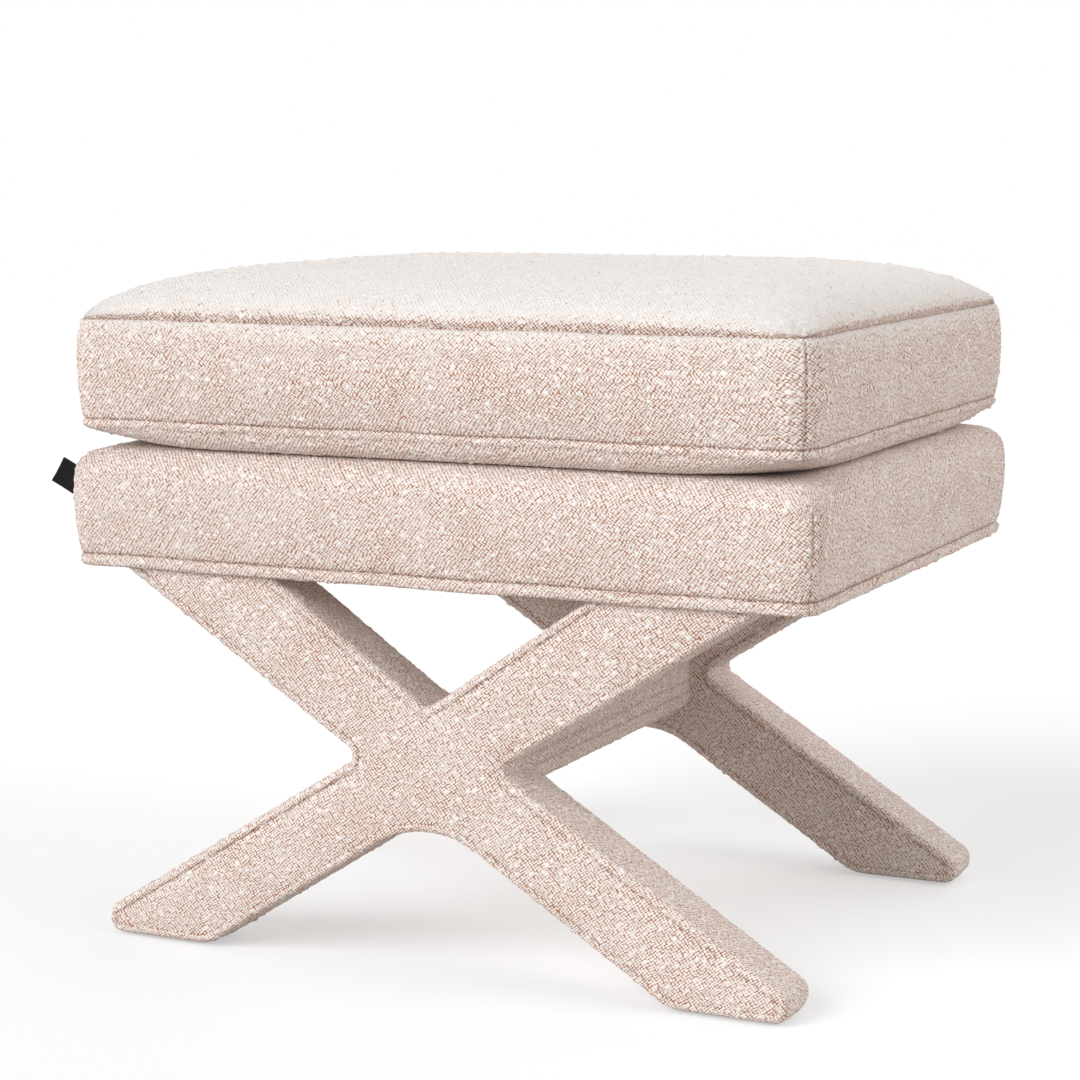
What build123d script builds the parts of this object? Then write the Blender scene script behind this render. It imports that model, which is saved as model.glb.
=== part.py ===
from build123d import *
import os

# Upholstered footstool: two crossed, padded leg frames joined by a stretcher,
# a padded platform on top of them and a loose boxed cushion on the platform.
# Origin on the floor below the middle, X along the seat, Z up, millimetres.

# Platform
platform_length = 531.0
platform_depth = 410.0
platform_underside = 261.0
platform_top = 344.0
platform_bulge = 7.0
platform_corner = 14.0
hem_height = 8.5
hem_thickness = 3.5
deck_seam_inset = 60.0
# Height share and bulge share of the platform's side, from hem to shoulder
platform_side_shares = [(0, 0), (0.25, 0.62), (0.52, 1), (0.74, 0.9)]
# Height share and inset share of the rounded shoulder, from side to top
platform_shoulder_shares = [(0.74, 0), (0.86, 0.1), (0.95, 0.38), (1, 1)]
shoulder_inset = 22.0

# Loose cushion
cushion_length = 526.0
cushion_depth = 418.0
cushion_belly = 20.7
boxing_height = 65.0
cushion_crown = 38.0
cushion_bulge = 4.0
cushion_draw = 3.0
# Inset, corner radius (both as a share of the half depth) and rise share of the crown
crown_shares = [(0, 0.1, 0), (0.012, 0.16, 0.2), (0.045, 0.28, 0.45), (0.1, 0.33, 0.62)]
crown_shares += [(0.2, 0.36, 0.78), (0.42, 0.34, 0.92), (0.8, 0.15, 1)]
# Inset, corner radius (both as a share of the half depth) and drop share of the underside
belly_shares = [(0, 0.1, 0), (0.012, 0.14, 0.26), (0.045, 0.22, 0.52), (0.12, 0.26, 0.8), (0.24, 0.26, 1)]
# Height share of the boxing and bulge share there
boxing_shares = [(0, 0), (0.28, 0.9), (0.72, 0.9), (1, 0)]
# Place along a side and share of the draw there
bow_shares = [(-0.5, 0.75), (0, 1), (0.5, 0.75)]
# Draw that is left where the boxing is fullest
least_draw_share = 0.1
corner_flats = 4
seam_band = 9.0
core_inset = 26.0
core_round = 14.0
wrap_below_core = 12.0
wrap_above_core = 16.0

# Crossed leg frames
frame_thickness = 44.0
frame_setback = 3.3
frame_edge_round = 8.0
cross_height = 145.2
notch_reach = 50.4
arm_inner_reach = 119.4
arm_width = 115.6
window_corner_height = 181.5
arch_corner_height = 111.0
heel_reach = 171.0
toe_reach = 251.0
toe_height = 19.0
notch_round = 10.0
arch_round = 66.0
toe_round = 9.0
heel_round = 9.0
least_round = 0.6
flange_width = 9.5
limb_thickness = 24.0
limb_padding = 5.0

# Stretcher between the two crossings
stretcher_width = 80.0
stretcher_height = 62.0
stretcher_centre = 147.0
stretcher_round = 11.0
stretcher_padding = 6.0

# Cloth and clearances
cloth = 2.0
seam_raise = 0.8
soft_gap = 0.3
overrun = 40.0

# Timber box and deck inside the platform
rail_setback = 11.0
rail_thickness = 22.0
rail_height = 50.0
block_leg = 52.0
deck_thickness = 9.0
vent_radius = 16.0
vent_spacing_x = 190.0
vent_spacing_y = 130.0
return_width = 14.0
lining = 0.8

# Staples that hold the lining
staple_width = 10.0
staple_wire = 1.0
staple_leg = 7.0
staple_inset = 6.5
staples_long_side = 5
staples_short_side = 6
staple_pitch_x = 46.0
staple_pitch_y = 48.0

# Bolts
bolt_radius = 4.0
bolt_length = 60.0
bolt_head_radius = 6.5
bolt_head_height = 5.0
socket_radius = 2.9
socket_depth = 3.0
washer_radius = 7.2
washer_thickness = 1.6
bolt_slack = 0.4
thread_slack = 0.05
insert_radius = 5.5
insert_length = 20.0
counterbore_slack = 0.3
# Places of the bolts across the width of the arm
arm_bolt_shares = (0.26, 0.53)
stretcher_bolt_spacing = 26.0
stretcher_bolt_length = 66.0
barrel_radius = 6.0
barrel_length = 24.0
barrel_inset = 34.0

# Glides under the feet
glide_thickness = 2.0
glide_length = 46.0
glide_width = 22.0
nail_radius = 1.2
nail_head_radius = 3.0
nail_head_height = 0.9
nail_length = 15.0
nail_spacing = 26.0
nail_recess = 0.5

# Side tag, a plain folded ribbon
tag_width = 26.0
tag_reach = 20.0
tag_root = 2.4
tag_ribbon = 0.7
tag_lean = 31.0
tag_height = 324.0
tag_setback = 7.0

# Zip in the rear boxing
zip_length = 420.0
zip_slot = 9.0
zip_tape_width = 13.0
zip_tape = 0.6
tooth_pitch = 10.0
tooth_width = 3.0
tooth_height = 3.0
tooth_depth = 2.2
zip_parting = 1.6
zip_recess_depth = 6.0
slider_length = 10.0
slider_height = 8.4
slider_plate = 1.2
slider_bridge = 0.8
slider_bridge_length = 5.0
slider_gap = 0.35
slider_end_margin = 8.0

# Derived heights and places
rail_bottom = platform_underside + hem_thickness + cloth
return_bottom = rail_bottom - cloth
frame_top = return_bottom - lining
rail_top = rail_bottom + rail_height
deck_top = rail_top + deck_thickness
half_length = platform_length / 2
half_depth = platform_depth / 2
arm_outer_reach = arm_inner_reach + arm_width
frame_face = half_depth - frame_setback
frame_middle = frame_face - frame_thickness / 2
frame_inner_face = frame_face - frame_thickness
cover_build = cloth + seam_raise
padding_inset = cover_build + soft_gap
rail_half_length = half_length - rail_setback
rail_half_depth = half_depth - rail_setback
cushion_bottom = platform_top + soft_gap
cushion_low_seam = cushion_bottom + cushion_belly
cushion_top_seam = cushion_low_seam + boxing_height
cushion_half_depth = cushion_depth / 2
cushion_corner = cushion_half_depth * crown_shares[0][1]
draw_slope = cushion_draw / (cushion_length / 2 - cushion_corner)
sole = glide_thickness
# Flats that stand for the roundness of small fasteners and their holes
small_sides = 12
# Flat's share of a soft arris
bevel_share = 0.586

os.makedirs("parts", exist_ok=True)


def save(shape, name):
    """Write one sub-part as its own file."""
    export_step(shape, f"parts/{name}.step")


def slab(low, high):
    """Everything between two heights, wider than the object."""
    width = platform_length + overrun + overrun
    return Pos(0, 0, (low + high) / 2) * Box(width, width, high - low)


def span(x_low, x_high, y_low, y_high, z_low, z_high):
    """Box between two corners."""
    middle = Pos((x_low + x_high) / 2, (y_low + y_high) / 2, (z_low + z_high) / 2)
    return middle * Box(x_high - x_low, y_high - y_low, z_high - z_low)


def rod(radius, length):
    """Upright round stock, with flats instead of a curved side."""
    return extrude(RegularPolygon(radius, small_sides), length / 2, both=True)


def bowed_plan(length, depth, corner, slope, height):
    """Rounded rectangle, in short flats, whose sides are drawn in between the corners."""
    points = []
    for quarter in range(4):
        across, along = (length / 2, depth / 2) if quarter % 2 == 0 else (depth / 2, length / 2)
        for k in range(corner_flats + 1):
            arm = Vector(corner, 0).rotate(Axis.Z, 90 * k / corner_flats - 90)
            point = Vector(across - corner + arm.X, corner - along + arm.Y)
            points.append(point.rotate(Axis.Z, 90 * quarter))
        run = along - corner
        for place, share in bow_shares:
            point = Vector(across - run * slope * share, run * place)
            points.append(point.rotate(Axis.Z, 90 * quarter))
    return Pos(0, 0, height) * make_face(Polyline(*points, close=True))


def wedge(x, y, side, low, high):
    """Mitred quarter of the plan that belongs to one side."""
    x, y = x + overrun, y + overrun
    ridge = x - y
    corners = {
        "front": [(-x, -y), (x, -y), (ridge, 0), (-ridge, 0)],
        "rear": [(x, y), (-x, y), (-ridge, 0), (ridge, 0)],
        "right": [(x, -y), (x, y), (ridge, 0)],
        "left": [(-x, y), (-x, -y), (-ridge, 0)],
    }
    plan = make_face(Polyline(*corners[side], close=True))
    return extrude(Pos(0, 0, low) * plan, high - low, dir=(0, 0, 1))


# Platform

def platform_plan(outset, inset, height):
    """Section of the platform at one height."""
    length = platform_length + 2 * (outset - inset)
    depth = platform_depth + 2 * (outset - inset)
    return Pos(0, 0, height) * RectangleRounded(length, depth, platform_corner)


def platform_form(inset):
    """Platform body with its bulging sides and soft shoulder, drawn in by inset."""
    rise = platform_top - platform_underside
    sections = []
    for height_share, bulge_share in platform_side_shares:
        height = platform_underside + rise * height_share
        sections.append(platform_plan(platform_bulge * bulge_share, inset, height))
    widest = platform_bulge * platform_side_shares[-1][1]
    for height_share, inset_share in platform_shoulder_shares[1:]:
        height = platform_underside + (rise - inset) * height_share
        sections.append(platform_plan(widest, inset + shoulder_inset * inset_share, height))
    return loft(sections, ruled=True)


def platform_covers():
    """Four mitred side panels, the deck panel between them and the turned hem."""
    outer = platform_form(0)
    inner = platform_form(cloth)
    shell = outer - inner
    hem_top = platform_underside + hem_height
    upper = shell & slab(hem_top, platform_top + overrun)
    deck_length = platform_length - 2 * deck_seam_inset
    deck_depth = platform_depth - 2 * deck_seam_inset
    deck_low = platform_top - shoulder_inset
    window = span(-deck_length / 2, deck_length / 2, -deck_depth / 2, deck_depth / 2, deck_low, platform_top)
    save(upper & window, "platform_deck_panel")
    sides = upper - window
    for side in ("front", "rear", "left", "right"):
        piece = sides & wedge(half_length, half_depth, side, platform_underside, platform_top)
        save(piece, f"platform_{side}_panel")
    band = (platform_form(-seam_raise) - platform_form(hem_thickness - seam_raise))
    band = band & slab(platform_underside, hem_top)
    inside_length = 2 * (rail_half_length - return_width)
    inside_depth = 2 * (rail_half_depth - return_width)
    turned = platform_form(-seam_raise / 2) & slab(return_bottom, rail_bottom)
    turned = turned - Pos(0, 0, return_bottom) * Box(inside_length, inside_depth, overrun)
    return band + turned


def platform_padding():
    """Foam round the rails and the slab on the deck board."""
    body = platform_form(cloth + soft_gap)
    box = span(-rail_half_length, rail_half_length, -rail_half_depth, rail_half_depth, 0, deck_top)
    side = (body & slab(platform_underside + hem_height, deck_top)) - box
    top = body & slab(deck_top, platform_top)
    return side, top


def arm_bolt_places():
    """Centres of the bolts that hold the arms to the rails."""
    places = []
    for y in (-frame_middle, frame_middle):
        for share in arm_bolt_shares:
            x = arm_inner_reach + arm_width * share
            places.append((x, y))
            places.append((-x, y))
    return places


def round_holes(places, radius, low, high):
    """Upright drill holes at the given places."""
    drills = Part()
    for x, y in places:
        drills += Pos(x, y, (low + high) / 2) * rod(radius, high - low)
    return drills


def staple_places():
    """Centre and turn of each staple along the four rails."""
    places = []
    x_line = rail_half_length - staple_inset
    y_line = rail_half_depth - staple_inset
    for i in range(staples_long_side):
        x = staple_pitch_x * (i - (staples_long_side - 1) / 2)
        places.append((x, -y_line, 0))
        places.append((x, y_line, 0))
    for i in range(staples_short_side):
        y = staple_pitch_y * (i - (staples_short_side - 1) / 2)
        places.append((-x_line, y, 90))
        places.append((x_line, y, 90))
    return places


def staples():
    """Wire staples with their crown under the lining and two legs in the rail."""
    group = []
    crown_top = frame_top
    crown = Pos(0, 0, crown_top - staple_wire / 2) * Box(staple_width, staple_wire, staple_wire)
    leg_x = (staple_width - staple_wire) / 2
    leg_height = staple_leg + lining
    for sign in (-1, 1):
        leg = Pos(sign * leg_x, 0, crown_top + leg_height / 2)
        crown += leg * Box(staple_wire, staple_wire, leg_height)
    for x, y, turn in staple_places():
        group.append(Pos(x, y, 0) * Rot(0, 0, turn) * crown)
    return Compound(children=group)


def timber_box(pins):
    """Four rails, corner blocks and the deck board."""
    holes = round_holes(arm_bolt_places(), bolt_radius + bolt_slack, rail_bottom, rail_top)
    bore_depth = bolt_head_height + washer_thickness + bolt_slack
    bores = round_holes(arm_bolt_places(), washer_radius + counterbore_slack, rail_top - bore_depth, rail_top)
    inner_depth = rail_half_depth - rail_thickness
    inner_length = rail_half_length - rail_thickness
    for name, sign in (("front", -1), ("rear", 1)):
        low, high = sorted((sign * inner_depth, sign * rail_half_depth))
        rail = span(-rail_half_length, rail_half_length, low, high, rail_bottom, rail_top)
        save(rail - holes - bores - pins, f"{name}_rail")
    for name, sign in (("left", -1), ("right", 1)):
        low, high = sorted((sign * inner_length, sign * rail_half_length))
        rail = span(low, high, -inner_depth, inner_depth, rail_bottom, rail_top)
        save(rail - pins, f"{name}_rail")
    blocks = []
    for sx in (-1, 1):
        for sy in (-1, 1):
            x, y = sx * inner_length, sy * inner_depth
            corner = [(x, y), (x - sx * block_leg, y), (x, y - sy * block_leg)]
            plan = make_face(Polyline(*corner, close=True))
            blocks.append(extrude(Pos(0, 0, rail_bottom) * plan, rail_height, dir=(0, 0, 1)))
    save(Compound(children=blocks), "corner_blocks")
    board = span(-rail_half_length, rail_half_length, -rail_half_depth, rail_half_depth, rail_top, deck_top)
    vents = []
    for sx in (-1, 1):
        for sy in (-1, 1):
            vents.append((sx * vent_spacing_x / 2, sy * vent_spacing_y / 2))
    save(board - round_holes(vents, vent_radius, rail_top, deck_top), "deck_board")


def dust_cover(pins):
    """Thin lining between the rails and the leg frames."""
    sheet = span(-rail_half_length, rail_half_length, -rail_half_depth, rail_half_depth, frame_top, return_bottom)
    holes = round_holes(arm_bolt_places(), bolt_radius + bolt_slack, frame_top, return_bottom)
    return sheet - holes - pins


# Leg frames

def arm_at(height, reach, root_x, root_z):
    """Reach of an arm's edge at a height, along its straight line."""
    return root_x + (height - root_z) * (reach - root_x) / (frame_top - root_z)


def inset_points(points, inset):
    """Move every side of a closed outline inwards and return the new corners."""
    moved = []
    count = len(points)
    for i in range(count):
        before = Vector(*points[i]) - Vector(*points[i - 1])
        after = Vector(*points[(i + 1) % count]) - Vector(*points[i])
        before, after = before.normalized(), after.normalized()
        n1, n2 = Vector(-before.Y, before.X), Vector(-after.Y, after.X)
        shift = (n1 + n2) * (inset / (1 + n1.dot(n2)))
        moved.append((points[i][0] + shift.X, points[i][1] + shift.Y))
    return moved


def crossed_face(inset, sole_inset, top_inset=0):
    """Outline of a crossed frame, drawn in by inset, on the XZ plane."""
    top = frame_top + inset - top_inset
    bottom = sole + sole_inset - inset
    outer = arm_at(top, arm_outer_reach, notch_reach, cross_height)
    inner = arm_at(top, arm_inner_reach, 0, window_corner_height)
    heel = heel_reach + (sole - bottom) * heel_reach / arch_corner_height
    half = [
        (heel, bottom, heel_round),
        (toe_reach, bottom, toe_round),
        (toe_reach, toe_height, toe_round),
        (notch_reach, cross_height, -notch_round),
        (outer, top, 0),
        (inner, top, 0),
    ]
    mirrored = [(-x, z, r) for x, z, r in reversed(half)]
    corners = half + [(0, window_corner_height, -notch_round)] + mirrored
    corners.append((0, arch_corner_height, -arch_round))
    points = inset_points([(x, z) for x, z, r in corners], inset)
    radii = []
    for x, z, r in corners:
        radii.append(inset - r if r < 0 else (max(r - inset, least_round) if r > 0 else 0))
    outline = FilletPolyline(*points, radius=radii, close=True)
    return Plane.XZ * make_face(outline)


def frame_slab(face, y_low, y_high):
    """Extrude an XZ outline between two depths."""
    return extrude(Pos(0, y_low, 0) * face, y_high - y_low, dir=(0, 1, 0))


def crossed_body(inset, sole_inset):
    """Padded crossed frame with soft arrises, drawn in by inset, centred on Y = 0."""
    half = frame_thickness / 2 - inset
    body = frame_slab(crossed_face(inset, sole_inset), -half, half)
    rims = []
    for face in (body.faces().sort_by(Axis.Y)[0], body.faces().sort_by(Axis.Y)[-1]):
        for edge in face.edges():
            if edge.center().Z < frame_top - least_round:
                rims.append(edge)
    return chamfer(rims, (frame_edge_round - inset) * bevel_share)


def limb_face(sign, inset, sole_inset):
    """One straight limb, from a foot to the opposite arm, on the XZ plane."""
    top = frame_top + inset
    bottom = sole + sole_inset - inset
    outer = arm_at(top, arm_outer_reach, notch_reach, cross_height)
    inner = arm_at(top, arm_inner_reach, 0, window_corner_height)
    points = [(-toe_reach, bottom), (-heel_reach, bottom), (outer, top), (inner, top), (-toe_reach, toe_height)]
    points = inset_points(points, inset)
    if sign < 0:
        points = [(-x, z) for x, z in reversed(points)]
    return Plane.XZ * make_face(Polyline(*points, close=True))


def limbs():
    """Two timber limbs of one frame, halved into each other at the crossing."""
    inset = padding_inset + limb_padding
    half = limb_thickness / 2
    form = frame_slab(crossed_face(inset, cover_build), -half, half)
    rising = form & frame_slab(limb_face(1, inset, cover_build), -half, half)
    falling = form & frame_slab(limb_face(-1, inset, cover_build), -half, half)
    lap = rising & falling
    wide = platform_length
    front = span(-wide, wide, -half, 0, 0, frame_top)
    return rising - (lap & front), falling - (lap - front)


def crossed_covers():
    """Two face panels with a stitched flange and the edge band between them."""
    inner = crossed_body(cover_build, cover_build)
    shell = crossed_body(0, 0) - inner
    half = frame_thickness / 2
    recess = crossed_face(flange_width, flange_width, 0)
    for y in (-half, half - seam_raise):
        shell = shell - frame_slab(recess, y, y + seam_raise)
    split = half - frame_edge_round
    wide = platform_length
    front = shell & span(-wide, wide, -half, -split, 0, frame_top)
    back = shell & span(-wide, wide, split, half, 0, frame_top)
    band = shell & span(-wide, wide, -split, split, 0, frame_top)
    return front, back, band


def arm_bolts():
    """Socket-head bolts down through the rails, their washers and inserts."""
    head_bottom = rail_top - bolt_head_height - bolt_slack
    bolts, washers, inserts = [], [], []
    for x, y in arm_bolt_places():
        bolt = Pos(x, y, head_bottom - bolt_length / 2) * rod(bolt_radius, bolt_length)
        bolt += Pos(x, y, head_bottom + bolt_head_height / 2) * rod(bolt_head_radius, bolt_head_height)
        socket_low = head_bottom + bolt_head_height - socket_depth
        socket = Pos(x, y, socket_low) * RegularPolygon(socket_radius, 6)
        bolts.append(bolt - extrude(socket, socket_depth, dir=(0, 0, 1)))
        washer = rod(washer_radius, washer_thickness) - rod(bolt_radius + thread_slack, overrun)
        washers.append(Pos(x, y, head_bottom - washer_thickness / 2) * washer)
        insert = rod(insert_radius, insert_length) - rod(bolt_radius + thread_slack, overrun)
        inserts.append(Pos(x, y, frame_top - insert_length / 2) * insert)
    return Compound(children=bolts), Compound(children=washers), Compound(children=inserts)


# Stretcher

def stretcher_bar(inset, y_half):
    """Rounded bar along Y, drawn in by inset."""
    radius = max(stretcher_round - inset, least_round)
    plan = RectangleRounded(stretcher_width - 2 * inset, stretcher_height - 2 * inset, radius)
    bar = extrude(Plane.XZ * plan, y_half, both=True)
    return Pos(0, 0, stretcher_centre) * bar


def stretcher_bolt_heights():
    """Heights of the two bolts at each end of the stretcher."""
    half = stretcher_bolt_spacing / 2
    return (stretcher_centre - half, stretcher_centre + half)


def stretcher_bolts():
    """Bolts through the crossings and the barrel nuts in the stretcher."""
    seat = frame_middle + limb_thickness / 2 - bolt_head_height
    bolts, nuts = [], []
    for z in stretcher_bolt_heights():
        for sign in (-1, 1):
            shank = Pos(0, sign * (seat - stretcher_bolt_length / 2), z) * Rot(90, 0, 0)
            head = Pos(0, sign * (seat + bolt_head_height / 2), z) * Rot(90, 0, 0)
            bolt = shank * rod(bolt_radius, stretcher_bolt_length)
            bolt += head * rod(bolt_head_radius, bolt_head_height)
            bolts.append(bolt)
            y = sign * (frame_inner_face - barrel_inset)
            nut = Pos(0, y, z) * Rot(0, 90, 0) * rod(barrel_radius, barrel_length)
            thread = Pos(0, y, z) * Rot(90, 0, 0) * rod(bolt_radius + thread_slack, overrun)
            nuts.append(nut - thread)
    return Compound(children=bolts), Compound(children=nuts)


def stretcher_bolt_holes():
    """Through holes and head recesses for the stretcher bolts."""
    seat = frame_middle + limb_thickness / 2 - bolt_head_height
    holes, barrels = Part(), Part()
    for z in stretcher_bolt_heights():
        for sign in (-1, 1):
            shank = Pos(0, sign * (seat - stretcher_bolt_length / 2), z) * Rot(90, 0, 0)
            head = Pos(0, sign * (seat + bolt_head_height / 2), z) * Rot(90, 0, 0)
            holes += shank * rod(bolt_radius + bolt_slack, stretcher_bolt_length + bolt_head_height)
            holes += head * rod(bolt_head_radius + bolt_slack, bolt_head_height)
            y = sign * (frame_inner_face - barrel_inset)
            depth = (stretcher_width + barrel_length) / 2
            middle = (stretcher_width - barrel_length) / 4
            barrels += Pos(middle, y, z) * Rot(0, 90, 0) * rod(barrel_radius + thread_slack, depth)
    return holes, barrels


# Glides

def glide_places():
    """Middle of each foot."""
    x = (heel_reach + toe_reach) / 2
    return [(sx * x, sy * frame_middle) for sx in (-1, 1) for sy in (-1, 1)]


def nail_places():
    """Two nails in every glide."""
    half = nail_spacing / 2
    return [(x + sign * half, y) for x, y in glide_places() for sign in (-1, 1)]


def glides():
    """Hard plastic strips under the feet with sunk nails."""
    strips, nails = [], []
    head_low = nail_recess
    head_high = nail_recess + nail_head_height
    for x, y in glide_places():
        strip = Pos(x, y, glide_thickness / 2) * Box(glide_length, glide_width, glide_thickness)
        strip = chamfer(strip.edges().filter_by(Axis.Z), glide_width / 4)
        strip = strip - round_holes(nail_places(), nail_head_radius + thread_slack, 0, head_high)
        strips.append(strip - round_holes(nail_places(), nail_radius + thread_slack, 0, glide_thickness))
    for x, y in nail_places():
        head = Pos(x, y, (head_low + head_high) / 2) * rod(nail_head_radius, nail_head_height)
        nails.append(head + Pos(x, y, head_high + nail_length / 2) * rod(nail_radius, nail_length))
    return Compound(children=strips), Compound(children=nails)


def crossed_frames():
    """Both leg frames with padding, covers, stretcher, bolts and glides."""
    bolts, washers, inserts = arm_bolts()
    save(bolts, "arm_bolts")
    save(washers, "arm_bolt_washers")
    save(inserts, "arm_inserts")
    insert_holes = round_holes(
        arm_bolt_places(), insert_radius + thread_slack, frame_top - insert_length, frame_top
    )
    head_bottom = rail_top - bolt_head_height - bolt_slack
    shank_holes = round_holes(
        arm_bolt_places(), bolt_radius + bolt_slack, head_bottom - bolt_length - bolt_slack, frame_top
    )
    nail_high = nail_recess + nail_head_height + nail_length
    nail_holes = round_holes(nail_places(), nail_radius + thread_slack, 0, nail_high)
    long_bolts, nuts = stretcher_bolts()
    save(long_bolts, "stretcher_bolts")
    save(nuts, "stretcher_barrel_nuts")
    bolt_holes, barrel_holes = stretcher_bolt_holes()
    timber_half = frame_middle - limb_thickness / 2
    beam = stretcher_bar(cloth + soft_gap + stretcher_padding, timber_half)
    save(beam - bolt_holes - barrel_holes, "stretcher_beam")
    soft_half = frame_inner_face - soft_gap
    save(stretcher_bar(cloth + soft_gap, soft_half) - beam, "stretcher_padding")
    save(stretcher_bar(0, soft_half) - stretcher_bar(cloth, soft_half), "stretcher_cover")
    rising, falling = limbs()
    padding = crossed_body(padding_inset, padding_inset) - rising - falling
    front_panel, back_panel, band = crossed_covers()
    for name, y, turn in (("front", -frame_middle, 0), ("rear", frame_middle, 180)):
        place = Pos(0, y, 0) * Rot(0, 0, turn)
        drills = insert_holes + shank_holes + nail_holes + bolt_holes
        save(place * rising - drills, f"{name}_rising_limb")
        save(place * falling - drills, f"{name}_falling_limb")
        save(place * padding - beam, f"{name}_cross_padding")
        save(place * front_panel, f"{name}_cross_outer_panel")
        save(place * back_panel - beam, f"{name}_cross_inner_panel")
        save(place * band - nail_holes, f"{name}_cross_edge_band")
    strips, nails = glides()
    save(strips, "foot_glides")
    save(nails, "glide_nails")


# Cushion

def cushion_plan(outset, corner, draw_share, height):
    """Section of the cushion at one height."""
    length = cushion_length + 2 * outset
    depth = cushion_depth + 2 * outset
    return bowed_plan(length, depth, corner, draw_slope * draw_share, height)


def domed_form(inset, seam, height, shares):
    """Crown or underside of the cushion, from its seam to its far end."""
    reach = cushion_half_depth
    size = abs(height) - inset
    sign = 1 if height > 0 else -1
    sections = []
    for inset_share, corner_share, rise_share in shares:
        outset = -inset - reach * inset_share
        corner = reach * corner_share - inset
        sections.append(cushion_plan(outset, corner, 1, seam + sign * size * rise_share))
    return loft(sections, ruled=True)


def boxing_form(inset):
    """Body of the cushion between its two seams."""
    rise = cushion_top_seam - cushion_low_seam
    sections = []
    for height_share, bulge_share in boxing_shares:
        draw_share = max(1 - bulge_share, least_draw_share)
        outset = cushion_bulge * bulge_share - inset
        corner = cushion_corner - inset
        sections.append(cushion_plan(outset, corner, draw_share, cushion_low_seam + rise * height_share))
    return loft(sections, ruled=True)


def crown_form(inset):
    """Top of the cushion."""
    return domed_form(inset, cushion_top_seam, cushion_crown, crown_shares)


def belly_form(inset):
    """Underside of the cushion, flat where it rests."""
    return domed_form(inset, cushion_low_seam, cushion_bottom - cushion_low_seam, belly_shares)


def cushion_covers(zip_window):
    """Top and bottom panels with raised seam bands, and four boxing panels."""
    top_band = crown_form(-seam_raise) & slab(cushion_top_seam, cushion_top_seam + seam_band)
    save((crown_form(0) + top_band) - crown_form(cloth), "cushion_top_panel")
    low_band = belly_form(-seam_raise) & slab(cushion_low_seam - seam_band, cushion_low_seam)
    save((belly_form(0) + low_band) - belly_form(cloth), "cushion_bottom_panel")
    ring = boxing_form(0) - boxing_form(cloth)
    x, y = cushion_length / 2, cushion_half_depth
    for side in ("front", "rear", "left", "right"):
        piece = ring & wedge(x, y, side, cushion_low_seam, cushion_top_seam)
        if side == "rear":
            piece = piece - zip_window
        save(piece, f"cushion_{side}_boxing")


def cushion_filling(recess):
    """Foam core and the fibre wrap round it."""
    inset = cloth + soft_gap
    low = cushion_bottom + wrap_below_core
    high = cushion_top_seam + cushion_crown - wrap_above_core - wrap_below_core
    core = span(
        core_inset - cushion_length / 2, cushion_length / 2 - core_inset,
        core_inset - cushion_half_depth, cushion_half_depth - core_inset, low, high,
    )
    core = chamfer(core.edges(), core_round * bevel_share)
    body = boxing_form(inset) + crown_form(inset) + belly_form(inset)
    save(core, "cushion_core")
    save(body - core - recess, "cushion_wrap")


def zip_fastener():
    """Tapes, two rows of teeth, end stops and the slider in the rear boxing."""
    middle = (cushion_low_seam + cushion_top_seam) / 2
    skin = cushion_half_depth + cushion_bulge
    quarter_bulge = boxing_shares[1][1]
    lip = cushion_half_depth + cushion_bulge * quarter_bulge - cushion_draw * (1 - quarter_bulge)
    tape_front = lip - cloth - soft_gap
    tape_back = tape_front - zip_tape
    half = zip_length / 2
    tapes, teeth = [], []
    count = int((zip_length - 2 * tooth_pitch) / tooth_pitch)
    for sign in (-1, 1):
        near, far = sign * zip_parting / 2, sign * (zip_parting / 2 + zip_tape_width)
        low, high = sorted((middle + near, middle + far))
        tapes.append(span(-half, half, tape_back, tape_front, low, high))
        low, high = sorted((middle + near, middle + near + sign * tooth_height))
        row_shift = tooth_pitch * sign / 4
        for i in range(count):
            x = tooth_pitch * (i - (count - 1) / 2) + row_shift
            edge = tooth_width / 2
            teeth.append(span(x - edge, x + edge, tape_front, tape_front + tooth_depth, low, high))
    save(Compound(children=tapes), "zip_tapes")
    save(Compound(children=teeth), "zip_teeth")
    x = half - slider_end_margin
    plate_low = tape_front + tooth_depth + slider_gap
    back_high = tape_back - slider_gap
    front = Pos(x, plate_low + slider_plate / 2, middle) * Box(slider_length, slider_plate, slider_height)
    back = Pos(x, back_high - slider_plate / 2, middle) * Box(slider_length, slider_plate, slider_height)
    bridge = span(
        x - slider_bridge_length / 2, x + slider_bridge_length / 2, back_high - slider_plate / 2,
        plate_low + slider_plate / 2, middle - slider_bridge / 2, middle + slider_bridge / 2,
    )
    lug = Pos(x, plate_low + slider_plate, middle) * Rot(0, 90, 90)
    loop = lug * (rod(slider_height / 3, slider_bridge) - rod(slider_height / 5, overrun))
    loop = loop & span(
        x - slider_length, x + slider_length, plate_low + slider_plate / 2, skin + overrun,
        middle - slider_height, middle + slider_height,
    )
    save(fillet(front.edges().filter_by(Axis.Y), slider_plate) + back + bridge + loop, "zip_slider")


def zip_openings():
    """Slot in the boxing and pocket in the wrap behind it."""
    middle = (cushion_low_seam + cushion_top_seam) / 2
    skin = cushion_half_depth + cushion_bulge
    half = zip_length / 2
    slot = span(-half, half, skin - overrun, skin + overrun, middle - zip_slot / 2, middle + zip_slot / 2)
    pocket_half = half + tooth_pitch
    reach = zip_parting / 2 + zip_tape_width + soft_gap
    low = skin - cloth - zip_recess_depth
    pocket = span(-pocket_half, pocket_half, low, skin + overrun, middle - reach, middle + reach)
    return slot, pocket


# Side tag

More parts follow.
